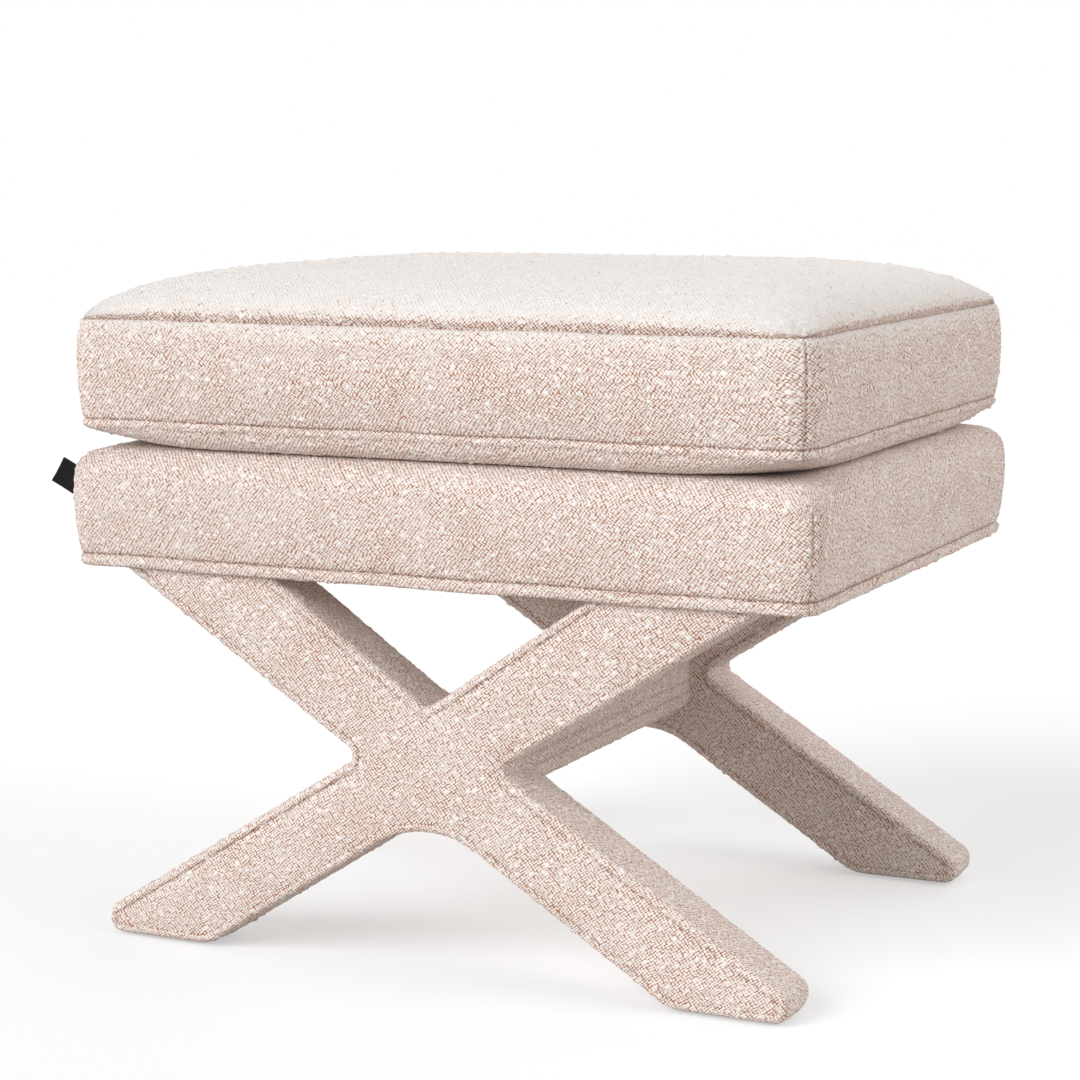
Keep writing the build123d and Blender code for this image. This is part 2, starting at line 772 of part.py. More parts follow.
def side_tag():
    """Plain folded ribbon caught in the front left corner seam."""
    fold = tag_ribbon
    leaf = Box(tag_reach, 2 * fold + soft_gap, tag_width)
    slit = Pos(fold, 0, 0) * Box(tag_reach, soft_gap, tag_width)
    ribbon = leaf - slit
    rim = platform_length / 2 + platform_bulge
    x = -rim - tag_reach / 2 + tag_root
    ribbon = Pos(x, tag_setback - half_depth, tag_height) * Rot(0, tag_lean, 0) * ribbon
    return ribbon - platform_form(-soft_gap)


pins = staples()
save(pins, "lining_staples")
timber_box(pins)
save(dust_cover(pins), "dust_cover")
hem = platform_covers()
save(hem - pins - round_holes(arm_bolt_places(), bolt_radius + bolt_slack, 0, rail_bottom), "platform_hem")
side_foam, top_foam = platform_padding()
save(side_foam, "platform_side_padding")
save(top_foam, "deck_foam")
crossed_frames()
slot, pocket = zip_openings()
cushion_covers(slot)
cushion_filling(pocket)
zip_fastener()
save(side_tag(), "side_tag")
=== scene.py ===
import bmesh, bpy, math
import numpy as np
from mathutils import Matrix, Vector
from mathutils.geometry import delaunay_2d_cdt


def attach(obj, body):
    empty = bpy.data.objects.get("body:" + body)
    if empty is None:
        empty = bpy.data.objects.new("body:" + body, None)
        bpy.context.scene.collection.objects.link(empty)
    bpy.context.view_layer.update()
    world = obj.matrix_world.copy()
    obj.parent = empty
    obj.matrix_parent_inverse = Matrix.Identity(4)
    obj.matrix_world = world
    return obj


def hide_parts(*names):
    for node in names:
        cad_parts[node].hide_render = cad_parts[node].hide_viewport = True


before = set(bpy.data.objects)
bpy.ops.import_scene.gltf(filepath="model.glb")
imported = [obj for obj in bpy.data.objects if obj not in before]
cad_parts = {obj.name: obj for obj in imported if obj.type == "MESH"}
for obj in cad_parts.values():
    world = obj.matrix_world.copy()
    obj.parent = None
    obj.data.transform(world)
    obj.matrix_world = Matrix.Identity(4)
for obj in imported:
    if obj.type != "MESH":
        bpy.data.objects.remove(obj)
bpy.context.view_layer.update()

# Studio
# A pale floor and surround that the camera sees as white, a large soft key from
# the front left, weaker lights from the right and behind, and the camera.
camera = bpy.data.objects.new("studio_camera", bpy.data.cameras.new("studio_camera"))
camera.data.lens = 89.985
camera.data.sensor_width = 36.0
camera.data.clip_start = 0.05
yaw, pitch, roll = math.radians(25.2825), math.radians(8.2682), math.radians(-0.1986)
camera.matrix_world = (
    Matrix.Translation((0.8036, -1.7274, 0.5431)) @ Matrix.Rotation(yaw, 4, "Z")
    @ Matrix.Rotation(math.pi / 2 - pitch, 4, "X") @ Matrix.Rotation(roll, 4, "Z")
)
bpy.context.scene.collection.objects.link(camera)
bpy.context.scene.camera = camera
bpy.context.scene.view_settings.view_transform = "Standard"


def studio_light(name, azimuth, height, softness, strength, tint):
    """A distant soft light; azimuth runs from the front, positive to the right."""
    lamp = bpy.data.objects.new(name, bpy.data.lights.new(name, "SUN"))
    lamp.data.angle = math.radians(softness)
    lamp.data.energy = strength
    lamp.data.color = tint
    turn, rise = math.radians(azimuth), math.radians(height)
    source = Vector((math.sin(turn) * math.cos(rise), -math.cos(turn) * math.cos(rise), math.sin(rise)))
    lamp.rotation_euler = source.to_track_quat("Z", "Y").to_euler()
    bpy.context.scene.collection.objects.link(lamp)


studio_light("key_light", -32, 28, 45, 2.85, (1.0, 0.99, 0.98))
studio_light("side_light", 95, 30, 50, 1.32, (1.0, 0.965, 0.94))
studio_light("back_light", 172, 20, 60, 1.5, (1.0, 0.985, 0.97))


def surround():
    world = bpy.data.worlds.new("surround")
    bpy.context.scene.world = world
    world.use_nodes = True
    tree = world.node_tree
    tree.nodes.clear()
    out = tree.nodes.new("ShaderNodeOutputWorld")
    mix = tree.nodes.new("ShaderNodeMixShader")
    path = tree.nodes.new("ShaderNodeLightPath")
    soft = tree.nodes.new("ShaderNodeBackground")
    white = tree.nodes.new("ShaderNodeBackground")
    soft.inputs["Color"].default_value = (1.0, 0.96, 0.93, 1)
    soft.inputs["Strength"].default_value = 0.27
    white.inputs["Color"].default_value = (1, 1, 1, 1)
    white.inputs["Strength"].default_value = 1.0
    tree.links.new(path.outputs["Is Camera Ray"], mix.inputs[0])
    tree.links.new(soft.outputs[0], mix.inputs[1])
    tree.links.new(white.outputs[0], mix.inputs[2])
    tree.links.new(mix.outputs[0], out.inputs[0])


surround()


def studio_floor():
    """Pale floor; what the camera sees of it is lifted to white where no shadow lies."""
    mesh = bpy.data.meshes.new("studio_floor")
    mesh.from_pydata([(-6, -6, 0), (6, -6, 0), (6, 6, 0), (-6, 6, 0)], [], [(0, 1, 2, 3)])
    floor = bpy.data.objects.new("studio_floor", mesh)
    bpy.context.scene.collection.objects.link(floor)
    paint = bpy.data.materials.new("floor_paint")
    paint.use_nodes = True
    tree = paint.node_tree
    tree.nodes.clear()
    out = tree.nodes.new("ShaderNodeOutputMaterial")
    mix = tree.nodes.new("ShaderNodeMixShader")
    path = tree.nodes.new("ShaderNodeLightPath")
    matt = tree.nodes.new("ShaderNodeBsdfDiffuse")
    matt.inputs["Color"].default_value = (0.60, 0.555, 0.525, 1)
    seen = tree.nodes.new("ShaderNodeAddShader")
    shaded = tree.nodes.new("ShaderNodeBsdfDiffuse")
    shaded.inputs["Color"].default_value = (0.545, 0.56, 0.575, 1)
    lift = tree.nodes.new("ShaderNodeEmission")
    lift.inputs["Strength"].default_value = 0.455
    tree.links.new(shaded.outputs[0], seen.inputs[0])
    tree.links.new(lift.outputs[0], seen.inputs[1])
    tree.links.new(path.outputs["Is Camera Ray"], mix.inputs[0])
    tree.links.new(matt.outputs[0], mix.inputs[1])
    tree.links.new(seen.outputs[0], mix.inputs[2])
    tree.links.new(mix.outputs[0], out.inputs[0])
    mesh.materials.append(paint)


studio_floor()

# Boucle cloth
# A looped wool-like cloth: pale pink-white nubs in a slanted lattice with ticks of
# terracotta ground yarn between them. It covers every upholstered piece.


def boucle_pattern(tree, cloth_plan, seam, painted_top_light):
    """Nub height, cover of the ground yarn and per-nub tint from cloth coordinates in metres."""
    def add(kind, **values):
        made = tree.nodes.new(kind)
        for name, value in values.items():
            setattr(made, name, value)
        return made

    def number(operation, *inputs, clamp=False):
        made = add("ShaderNodeMath", operation=operation, use_clamp=clamp)
        for i, value in enumerate(inputs):
            if isinstance(value, (int, float)):
                made.inputs[i].default_value = value
            else:
                tree.links.new(value, made.inputs[i])
        return made.outputs[0]

    def clouds(scale, vector):
        made = add("ShaderNodeTexNoise", noise_dimensions="2D")
        made.inputs["Scale"].default_value = scale
        made.inputs["Detail"].default_value = 1.0
        tree.links.new(vector, made.inputs["Vector"])
        return made

    drift = clouds(70.0, cloth_plan)
    shift = add("ShaderNodeVectorMath", operation="MULTIPLY_ADD")
    tree.links.new(drift.outputs["Color"], shift.inputs[0])
    shift.inputs[1].default_value = (0.0030, 0.0030, 0)
    tree.links.new(cloth_plan, shift.inputs[2])
    lattice = add("ShaderNodeMapping", vector_type="TEXTURE")
    lattice.inputs["Rotation"].default_value = (0, 0, math.radians(38))
    lattice.inputs["Scale"].default_value = (1.16, 0.88, 1)
    tree.links.new(shift.outputs[0], lattice.inputs["Vector"])
    place = lattice.outputs[0]

    def cells(scale, randomness):
        made = add("ShaderNodeTexVoronoi", voronoi_dimensions="2D", feature="F1")
        made.inputs["Scale"].default_value = scale
        made.inputs["Randomness"].default_value = randomness
        tree.links.new(place, made.inputs["Vector"])
        return made

    nubs, slubs = cells(525, 0.27), cells(250, 1.0)
    spread, patch = clouds(420.0, place), clouds(26.0, place)
    reach = nubs.outputs["Distance"]
    nub = number("SUBTRACT", 1.0, number("POWER", number("MULTIPLY", reach, 1.45), 1.8), clamp=True)
    pick, tint = add("ShaderNodeSeparateColor"), add("ShaderNodeSeparateColor")
    tree.links.new(slubs.outputs["Color"], pick.inputs[0])
    tree.links.new(nubs.outputs["Color"], tint.inputs[0])
    chosen = number("MULTIPLY", number("SUBTRACT", pick.outputs[0], 0.80), 6.0, clamp=True)
    slub = number("SUBTRACT", 1.0, number("POWER", number("MULTIPLY", slubs.outputs["Distance"], 1.9), 2.0), clamp=True)
    slub = number("MULTIPLY", slub, chosen)
    height = number("MAXIMUM", number("MULTIPLY", nub, number("ADD", 0.55, number("MULTIPLY", tint.outputs[0], 0.30))), slub)
    hidden = number("MULTIPLY", number("SUBTRACT", spread.outputs["Fac"], 0.5), 0.42)
    hidden = number("ADD", hidden, number("MULTIPLY", number("SUBTRACT", patch.outputs["Fac"], 0.5), 0.12))
    # On the up-facing crown more ground yarn is hidden, a painted highlight of the light on the top; near seams
    # slightly more shows.
    hidden = number("SUBTRACT", number("ADD", hidden, number("MULTIPLY", painted_top_light, 0.20)), number("MULTIPLY", seam, 0.06))
    covered = number("MULTIPLY", number("SUBTRACT", number("ADD", hidden, 0.535), reach), 8.0, clamp=True)
    covered = number("MAXIMUM", covered, number("MULTIPLY", slub, 1.8, clamp=True))
    return height, covered, tint.outputs[1], number


def boucle_cloth():
    cloth = bpy.data.materials.new("boucle_cloth")
    cloth.use_nodes = True
    tree = cloth.node_tree
    shader = tree.nodes["Principled BSDF"]
    plan = tree.nodes.new("ShaderNodeUVMap")
    plan.uv_map = "cloth_plan"
    seam = tree.nodes.new("ShaderNodeAttribute")
    seam.attribute_name = "seam"
    facing = tree.nodes.new("ShaderNodeTexCoord")
    upward = tree.nodes.new("ShaderNodeSeparateXYZ")
    tree.links.new(facing.outputs["Normal"], upward.inputs[0])
    # Cloth facing up high on the cushion crown is whitened: a painted highlight of the light falling on the top.
    painted_top_light = tree.nodes.new("ShaderNodeMapRange")
    painted_top_light.inputs["From Min"].default_value = 0.10
    painted_top_light.inputs["From Max"].default_value = 0.60
    tree.links.new(upward.outputs["Z"], painted_top_light.inputs["Value"])
    level = tree.nodes.new("ShaderNodeSeparateXYZ")
    tree.links.new(facing.outputs["Object"], level.inputs[0])
    crown = tree.nodes.new("ShaderNodeMapRange")
    crown.inputs["From Min"].default_value = 0.40
    crown.inputs["From Max"].default_value = 0.44
    tree.links.new(level.outputs["Z"], crown.inputs["Value"])
    painted_crown_light = tree.nodes.new("ShaderNodeMath")
    painted_crown_light.operation = "MULTIPLY"
    tree.links.new(painted_top_light.outputs[0], painted_crown_light.inputs[0])
    tree.links.new(crown.outputs[0], painted_crown_light.inputs[1])
    height, covered, tint, number = boucle_pattern(tree, plan.outputs[0], seam.outputs["Fac"], painted_crown_light.outputs[0])

    broad = tree.nodes.new("ShaderNodeTexNoise")
    broad.inputs["Scale"].default_value = 34.0
    broad.inputs["Detail"].default_value = 3.0
    tree.links.new(plan.outputs[0], broad.inputs["Vector"])
    fibre = tree.nodes.new("ShaderNodeTexNoise")
    fibre.inputs["Scale"].default_value = 2400.0
    fibre.inputs["Detail"].default_value = 2.0
    tree.links.new(plan.outputs[0], fibre.inputs["Vector"])

    def blend(low, high, factor):
        made = tree.nodes.new("ShaderNodeMix")
        made.data_type = "RGBA"
        for socket, value in ((made.inputs[6], low), (made.inputs[7], high)):
            if isinstance(value, tuple):
                socket.default_value = (*value, 1)
            else:
                tree.links.new(value, socket)
        tree.links.new(factor, made.inputs[0])
        return made.outputs[2]

    # Yarn lightens with nub height, painted shade down the nub flanks and lower loops, mixed with a random tone per
    # nub.
    shade = number("ADD", number("MULTIPLY", tint, 0.6), number("MULTIPLY", height, 0.5), clamp=True)
    yarn = blend((0.82, 0.755, 0.715), (0.92, 0.905, 0.895), shade)
    # The crown's yarn is paled further, as painted highlight.
    yarn = blend(yarn, (0.85, 0.835, 0.83), number("MULTIPLY", painted_crown_light.outputs[0], 0.65))
    ground = blend((0.40, 0.175, 0.095), (0.58, 0.31, 0.19), broad.outputs["Fac"])
    # Near seams the ground yarn and the yarn are darkened: painted shade in the seam creases and stitch grooves.
    deep = blend(ground, (0.13, 0.055, 0.035), number("MULTIPLY", seam.outputs["Fac"], 0.50))
    pale = blend(yarn, (0.50, 0.33, 0.26), number("MULTIPLY", seam.outputs["Fac"], 0.22))
    tree.links.new(blend(deep, pale, covered), shader.inputs["Base Color"])

    relief = number("ADD", number("MULTIPLY", height, 0.9), number("MULTIPLY", fibre.outputs["Fac"], 0.25))
    bump = tree.nodes.new("ShaderNodeBump")
    bump.inputs["Strength"].default_value = 1.0
    bump.inputs["Distance"].default_value = 0.0009
    tree.links.new(relief, bump.inputs["Height"])
    tree.links.new(bump.outputs[0], shader.inputs["Normal"])
    tree.links.new(number("SUBTRACT", 0.98, number("MULTIPLY", height, 0.12)), shader.inputs["Roughness"])
    shader.inputs["Specular IOR Level"].default_value = 0.2
    shader.inputs["Sheen Weight"].default_value = 0.22
    shader.inputs["Sheen Roughness"].default_value = 0.4
    shader.inputs["Sheen Tint"].default_value = (1.0, 0.95, 0.92, 1)
    return cloth


boucle = boucle_cloth()


def nubby_surface():
    """Geometry Nodes tree that raises a cover's nubs, stray loops and slow unevenness along its normals."""
    tree = bpy.data.node_groups.new("nubby_surface", "GeometryNodeTree")
    face = tree.interface
    face.new_socket("Cover", in_out="INPUT", socket_type="NodeSocketGeometry")
    for name, value in (
        ("Nub Height", 0.0012), ("Nubs per Metre", 330.0), ("Loop Height", 0.0021), ("Loops per Metre", 190.0),
        ("Sag Height", 0.0008), ("Sags per Metre", 13.0),
    ):
        face.new_socket(name, in_out="INPUT", socket_type="NodeSocketFloat").default_value = value
    face.new_socket("Cloth", in_out="INPUT", socket_type="NodeSocketMaterial")
    face.new_socket("Cover", in_out="OUTPUT", socket_type="NodeSocketGeometry")
    link = tree.links.new
    into, out = tree.nodes.new("NodeGroupInput"), tree.nodes.new("NodeGroupOutput")

    def number(operation, *inputs, clamp=False):
        made = tree.nodes.new("ShaderNodeMath")
        made.operation, made.use_clamp = operation, clamp
        for i, value in enumerate(inputs):
            if isinstance(value, (int, float)):
                made.inputs[i].default_value = value
            else:
                link(value, made.inputs[i])
        return made.outputs[0]

    def cells(scale):
        made = tree.nodes.new("ShaderNodeTexVoronoi")
        link(scale, made.inputs["Scale"])
        return made

    nubs, loops = cells(into.outputs["Nubs per Metre"]), cells(into.outputs["Loops per Metre"])
    sags = tree.nodes.new("ShaderNodeTexNoise")
    sags.inputs["Detail"].default_value = 1.0
    link(into.outputs["Sags per Metre"], sags.inputs["Scale"])
    nub = number("SUBTRACT", 0.5, number("MULTIPLY", nubs.outputs["Distance"], 1.1))
    pick = tree.nodes.new("FunctionNodeSeparateColor")
    link(loops.outputs["Color"], pick.inputs[0])
    stray = number("MULTIPLY", number("SUBTRACT", pick.outputs[0], 0.72), 4.0, clamp=True)
    loop = number("MULTIPLY", stray, number("SUBTRACT", 1.0, number("MULTIPLY", loops.outputs["Distance"], 1.9), clamp=True))
    sag = number("SUBTRACT", sags.outputs["Fac"], 0.5)
    rise = number("MULTIPLY", nub, into.outputs["Nub Height"])
    rise = number("ADD", rise, number("MULTIPLY", loop, into.outputs["Loop Height"]))
    rise = number("ADD", rise, number("MULTIPLY", sag, into.outputs["Sag Height"]))
    still = tree.nodes.new("GeometryNodeInputNamedAttribute")
    still.inputs["Name"].default_value = "still"
    rise = number("MULTIPLY", rise, number("SUBTRACT", 1.0, still.outputs[0], clamp=True))
    outward = tree.nodes.new("GeometryNodeInputNormal")
    offset = tree.nodes.new("ShaderNodeVectorMath")
    offset.operation = "SCALE"
    link(outward.outputs[0], offset.inputs[0])
    link(rise, offset.inputs["Scale"])
    move = tree.nodes.new("GeometryNodeSetPosition")
    link(into.outputs["Cover"], move.inputs["Geometry"])
    link(offset.outputs[0], move.inputs["Offset"])
    whole = tree.nodes.new("GeometryNodeRealizeInstances")
    link(move.outputs[0], whole.inputs[0])
    dress = tree.nodes.new("GeometryNodeSetMaterial")
    link(whole.outputs[0], dress.inputs["Geometry"])
    link(into.outputs["Cloth"], dress.inputs["Material"])
    link(dress.outputs[0], out.inputs[0])
    return tree


nubby = nubby_surface()


def socket_named(tree, name):
    return next(i.identifier for i in tree.interface.items_tree if i.name == name and i.in_out == "INPUT")


def plain_mesh(piece):
    """Turns a piece with live modifiers into a plain mesh without them."""
    bpy.context.view_layer.update()
    plain = bpy.data.meshes.new_from_object(piece.evaluated_get(bpy.context.evaluated_depsgraph_get()))
    piece.modifiers.clear()
    piece.data = plain
    plain.name = piece.name
    return piece


def cloth_finish(cover, levels, **heights):
    """Rounds a cover's facets, gives it the cloth and raises the nubs."""
    if levels:
        smooth = cover.modifiers.new("smooth", "SUBSURF")
        smooth.levels = smooth.render_levels = levels
        smooth.uv_smooth = "NONE"
        smooth.boundary_smooth = "PRESERVE_CORNERS"
    raised = cover.modifiers.new("nubs", "NODES")
    raised.node_group = nubby
    raised[socket_named(nubby, "Cloth")] = boucle
    for name, value in heights.items():
        raised[socket_named(nubby, name.replace("_", " ").title())] = value
    plain_mesh(cover)
    cover.data.materials.clear()
    cover.data.materials.append(boucle)
    return cover


# Cushion cover
# A boxed cushion cover of crown panel, four boxing strips and bottom panel, sewn
# right sides together, turned and filled, so both seams pull in between corners.
cushion_half_x, cushion_half_y, cushion_corner = 0.2645, 0.209, 0.020
low_seam, top_seam, crown_rise = 0.3625, 0.430, 0.0350


def graded_lines(half, corner, pitch):
    """Grid lines from -half to half, finer in the rounded corners and at the seam."""
    if corner > 0.015:
        near = [0.0, 0.0006, 0.0014, 0.0028, 0.0050, 0.0086, 0.0135, corner]
    else:
        near = [0.0, 0.0022, 0.0052, 0.0090, corner]
    count = max(2, round((half - corner) * 2 / pitch))
    middle = [-(half - corner) + 2 * (half - corner) * i / count for i in range(count + 1)]
    left = [-half + step for step in near[:-1]]
    return left + middle + [-x for x in reversed(left)]


def corner_turn(x, y, half_x, half_y, corner):
    """A grid point moved so that the grid's square corners become round ones, and its outward direction."""
    p = (abs(x) - (half_x - corner)) / corner
    q = (abs(y) - (half_y - corner)) / corner
    sx, sy = (1 if x >= 0 else -1), (1 if y >= 0 else -1)
    if p > 0 and q > 0:
        reach = max(p, q)
        angle = math.pi / 4 * (q / p if p >= q else 2 - p / q)
        cx, cy = math.cos(angle), math.sin(angle)
        x = sx * (half_x - corner + corner * reach * cx)
        y = sy * (half_y - corner + corner * reach * cy)
        return x, y, sx * cx, sy * cy
    if p > q or (abs(half_x - abs(x)) < abs(half_y - abs(y))):
        return x, y, sx, 0.0
    return x, y, 0.0, sy


def drawn_in(x, y, half_x, half_y, draw):
    """Seam pulled in between the corners."""
    return (
        x * (1 - draw / half_x * max(0.0, 1 - (y / half_y) ** 2)),
        y * (1 - draw / half_y * max(0.0, 1 - (x / half_x) ** 2)),
    )


def seam_wander(x, y):
    """Small rise and fall of a hand-guided seam."""
    return 0.00022 * (math.sin(61 * x + 17 * y) + math.sin(97 * y - 43 * x + 1))


def closed_cover(name, half_x, half_y, corner, pitch, rows, top_height, low_height, draw, corner_dip=0.0010):
    """Closed box of cloth: top grid, rows down the side, bottom grid, with its plan in metres as UV.

    rows hold (height, outset, draw share, crease, seam) from the upper seam to the lower one."""
    xs, ys = graded_lines(half_x, corner, pitch), graded_lines(half_y, corner, pitch)
    nx, ny = len(xs), len(ys)
    ring = [(i, 0) for i in range(nx)] + [(nx - 1, j) for j in range(1, ny)]
    ring += [(i, ny - 1) for i in range(nx - 2, -1, -1)] + [(0, j) for j in range(ny - 2, 0, -1)]
    points, uv_faces, faces, seams, stills = [], [], [], [], []
    rim_lip = 0.0013

    def rim_point(i, j, row):
        height, outset, draw_share, _, seam = row
        x, y, ox, oy = corner_turn(xs[i], ys[j], half_x, half_y, corner)
        fx, fy = drawn_in(x, y, half_x, half_y, draw * draw_share)
        at_corner = abs(abs(ox) - abs(oy)) < 0.05
        outset -= corner_dip * at_corner
        points.append((fx + ox * outset, fy + oy * outset, height + seam_wander(fx, fy)))
        seams.append(max(seam, 0.8 * at_corner))
        stills.append(0.55 * max(seam, at_corner))

    def grid(row, height_at, flat):
        made = {}
        shrink = min(0.0, row[1] + rim_lip)
        fade = (1.0, 0.5, 0.15)
        for i in range(nx):
            for j in range(ny):
                made[i, j] = len(points)
                depth = min(i, nx - 1 - i, j, ny - 1 - j)
                if depth == 0:
                    rim_point(i, j, (height_at(xs[i], ys[j]),) + row[1:])
                    continue
                x, y, _, _ = corner_turn(xs[i], ys[j], half_x, half_y, corner)
                fx, fy = drawn_in(x, y, half_x, half_y, draw * row[2])
                lift = seam_wander(fx, fy) * max(0.0, 1 - depth / 6)
                fx, fy = fx * (1 + shrink / half_x), fy * (1 + shrink / half_y)
                points.append((fx, fy, height_at(xs[i], ys[j]) + lift))
                near_rim = fade[depth] if depth < len(fade) else 0.0
                seams.append(row[4] * near_rim)
                stills.append(max(0.55 * near_rim, flat(xs[i], ys[j])))
        return made

    top = grid(rows[0], top_height[0], top_height[1])
    loops = [[top[k] for k in ring]]
    for row in rows[1:-1]:
        loops.append(list(range(len(points), len(points) + len(ring))))
        for i, j in ring:
            rim_point(i, j, row)
    low = grid(rows[-1], low_height[0], low_height[1])
    loops.append([low[k] for k in ring])
    creases = {}
    for loop, row in zip(loops, rows):
        if row[3]:
            for k in range(len(ring)):
                creases[frozenset((loop[k], loop[(k + 1) % len(ring)]))] = row[3]

    def middle_lengths(table):
        across = [Vector(points[table[i, ny // 2]]) for i in range(nx)]
        deep = [Vector(points[table[nx // 2, j]]) for j in range(ny)]
        return graded_lengths(across), graded_lengths(deep)

    side_shift, low_shift = 3.0, 6.0
    for table, shift in ((top, 0.0), (low, low_shift)):
        across, deep = middle_lengths(table)
        for i in range(nx - 1):
            for j in range(ny - 1):
                quad = [(i, j), (i + 1, j), (i + 1, j + 1), (i, j + 1)]
                if table is low:
                    quad = quad[::-1]
                faces.append([table[k] for k in quad])
                uv_faces.append([(shift + across[a], deep[b]) for a, b in quad])
    along = [side_shift]
    for k in range(len(ring)):
        a, b = Vector(points[loops[0][k]]), Vector(points[loops[0][(k + 1) % len(ring)]])
        along.append(along[-1] + (b - a).length)
    down = graded_lengths([Vector(points[loop[nx // 2]]) for loop in loops])
    for row in range(len(loops) - 1):
        for k in range(len(ring)):
            after = (k + 1) % len(ring)
            faces.append([loops[row][k], loops[row + 1][k], loops[row + 1][after], loops[row][after]])
            uv_faces.append([
                (along[k], down[row]), (along[k], down[row + 1]),
                (along[k + 1], down[row + 1]), (along[k + 1], down[row]),
            ])
    mesh = bpy.data.meshes.new(name)
    mesh.from_pydata(points, [], faces)
    layer = mesh.uv_layers.new(name="cloth_plan")
    layer.data.foreach_set("uv", [c for face in uv_faces for uv in face for c in uv])
    mesh.polygons.foreach_set("use_smooth", [True] * len(faces))
    crease = mesh.attributes.new("crease_edge", "FLOAT", "EDGE")
    crease.data.foreach_set("value", [creases.get(frozenset(edge.vertices), 0.0) for edge in mesh.edges])
    # The seam attribute marks the seams, where the cloth is darkened as painted shade in the creases.
    for label, values in (("seam", seams), ("still", stills)):
        mesh.attributes.new(label, "FLOAT", "POINT").data.foreach_set("value", values)
    mesh.update()
    cover = bpy.data.objects.new(name, mesh)
    bpy.context.scene.collection.objects.link(cover)
    return cover


def graded_lengths(line):
    """Distance along a line of points, measured from its middle."""
    lengths = [0.0]
    for a, b in zip(line, line[1:]):
        lengths.append(lengths[-1] + (b - a).length)
    return [value - lengths[-1] / 2 for value in lengths]


def crown_height(x, y):
    a, b = abs(x) / cushion_half_x, abs(y) / cushion_half_y
    return top_seam + crown_rise * math.sqrt(max(0.0, (1 - a ** 5.6) * (1 - b ** 5.6)))


platform_half_x, platform_half_y, platform_corner = 0.2714, 0.2110, 0.0165
shoulder_height, platform_top, shoulder_width = 0.3228, 0.344, 0.031


def deck_height(x, y):
    from_side, from_end = platform_half_x - abs(x), platform_half_y - abs(y)
    share = min(1.0, max(0.0, min(from_side, from_end)) / shoulder_width)
    droop = 0.0032 * math.exp(-(from_side ** 2 + from_end ** 2) / 0.060 ** 2) * share
    return shoulder_height + (platform_top - shoulder_height) * math.sqrt(max(0.0, 1 - (1 - share) ** 2.2)) - droop


def belly_height(x, y):
    a, b = abs(x) / cushion_half_x, abs(y) / cushion_half_y
    drop = math.sqrt(max(0.0, (1 - a ** 9) * (1 - b ** 9))) * 0.0210
    near_corner = math.exp(-((cushion_half_x - abs(x)) ** 2 + (cushion_half_y - abs(y)) ** 2) / 0.055 ** 2)
    return max(deck_height(x, y) + 0.0013, low_seam - 0.006 - drop * (1 - 0.6 * near_corner))


def always_free(x, y):
    return 0.0


def resting(x, y):
    """How much of the underside lies still on the deck."""
    rim = min(cushion_half_x - abs(x), cushion_half_y - abs(y))
    return min(1.0, max(0.0, (rim - 0.008) / 0.010))


cushion_rows = [
    (0.4300, -0.0016, 1.0, 0.9, 1.0), (0.4292, 0.0002, 0.95, 0, 0.55), (0.4275, 0.0014, 0.8, 0, 0.15),
    (0.4240, 0.0024, 0.6, 0, 0), (0.4180, 0.0033, 0.3, 0, 0), (0.4080, 0.0040, 0.1, 0, 0),
    (0.4028, 0.0042, 0, 0, 0), (0.4012, 0.0042, 0, 0, 0), (0.3975, 0.0042, 0, 0, 0),
    (0.3938, 0.0042, 0, 0, 0), (0.3922, 0.0041, 0, 0, 0), (0.3860, 0.0039, 0.1, 0, 0),
    (0.3780, 0.0033, 0.3, 0, 0), (0.3700, 0.0023, 0.6, 0, 0), (0.3655, 0.0015, 0.9, 0, 0.05),
    (0.3634, 0.0010, 1.0, 0, 0.3), (0.3625, -0.0004, 1.0, 0.8, 0.8), (0.3616, 0.0010, 1.0, 0, 0.25),
    (0.3598, 0.0016, 1.0, 0, 0), (0.3575, 0.0011, 1.0, 0, 0), (0.3565, 0.0000, 1.0, 0.6, 0.35),
]
cushion_cover = closed_cover(
    "cushion_cover", cushion_half_x, cushion_half_y, cushion_corner, 0.0066,
    cushion_rows, (crown_height, always_free), (belly_height, resting), 0.003,
)
zip_middle, zip_half_length, zip_slot_half, zip_floor = 0.3975, 0.210, 0.0045, 0.2085


def zip_channel(cover, half_length, half_height, floor):
    """Pushes the rear boxing in behind the zip tapes."""
    for vertex in cover.data.vertices:
        x, y, z = vertex.co
        if y > floor and abs(x) < half_length and abs(z - zip_middle) < half_height:
            vertex.co.y = floor


cloth_finish(cushion_cover, 2)
zip_channel(cushion_cover, zip_half_length, zip_slot_half, zip_floor)
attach(cushion_cover, "cushion")
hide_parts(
    "cushion_top_panel", "cushion_bottom_panel", "cushion_front_boxing", "cushion_left_boxing",
    "cushion_right_boxing", "cushion_rear_boxing",
)

# Cushion filling
# Polyester fibre wrapped round a foam slab and pressed into the cover, which it
# fills to the seams. The zip's tapes press a shallow groove into its rear side.
fill_gap = 0.0030


def fibre_crown(x, y):
    return crown_height(x, y) - fill_gap


def fibre_floor(x, y):
    return belly_height(x, y) + fill_gap


fibre_rows = [
    (0.4290, -0.0030, 1.0, 0, 0), (0.4200, 0.0000, 0.3, 0, 0), (0.4080, 0.0010, 0.1, 0, 0),
    (0.3975, 0.0012, 0, 0, 0), (0.3860, 0.0010, 0.1, 0, 0), (0.3760, 0.0002, 0.3, 0, 0),
    (0.3680, -0.0012, 0.8, 0, 0), (0.3600, -0.0030, 1.0, 0, 0),
]
cushion_fill = closed_cover(
    "cushion_fill", cushion_half_x - fill_gap / 2, cushion_half_y - fill_gap / 2, cushion_corner, 0.016,
    fibre_rows, (fibre_crown, always_free), (fibre_floor, always_free), 0.003,
)


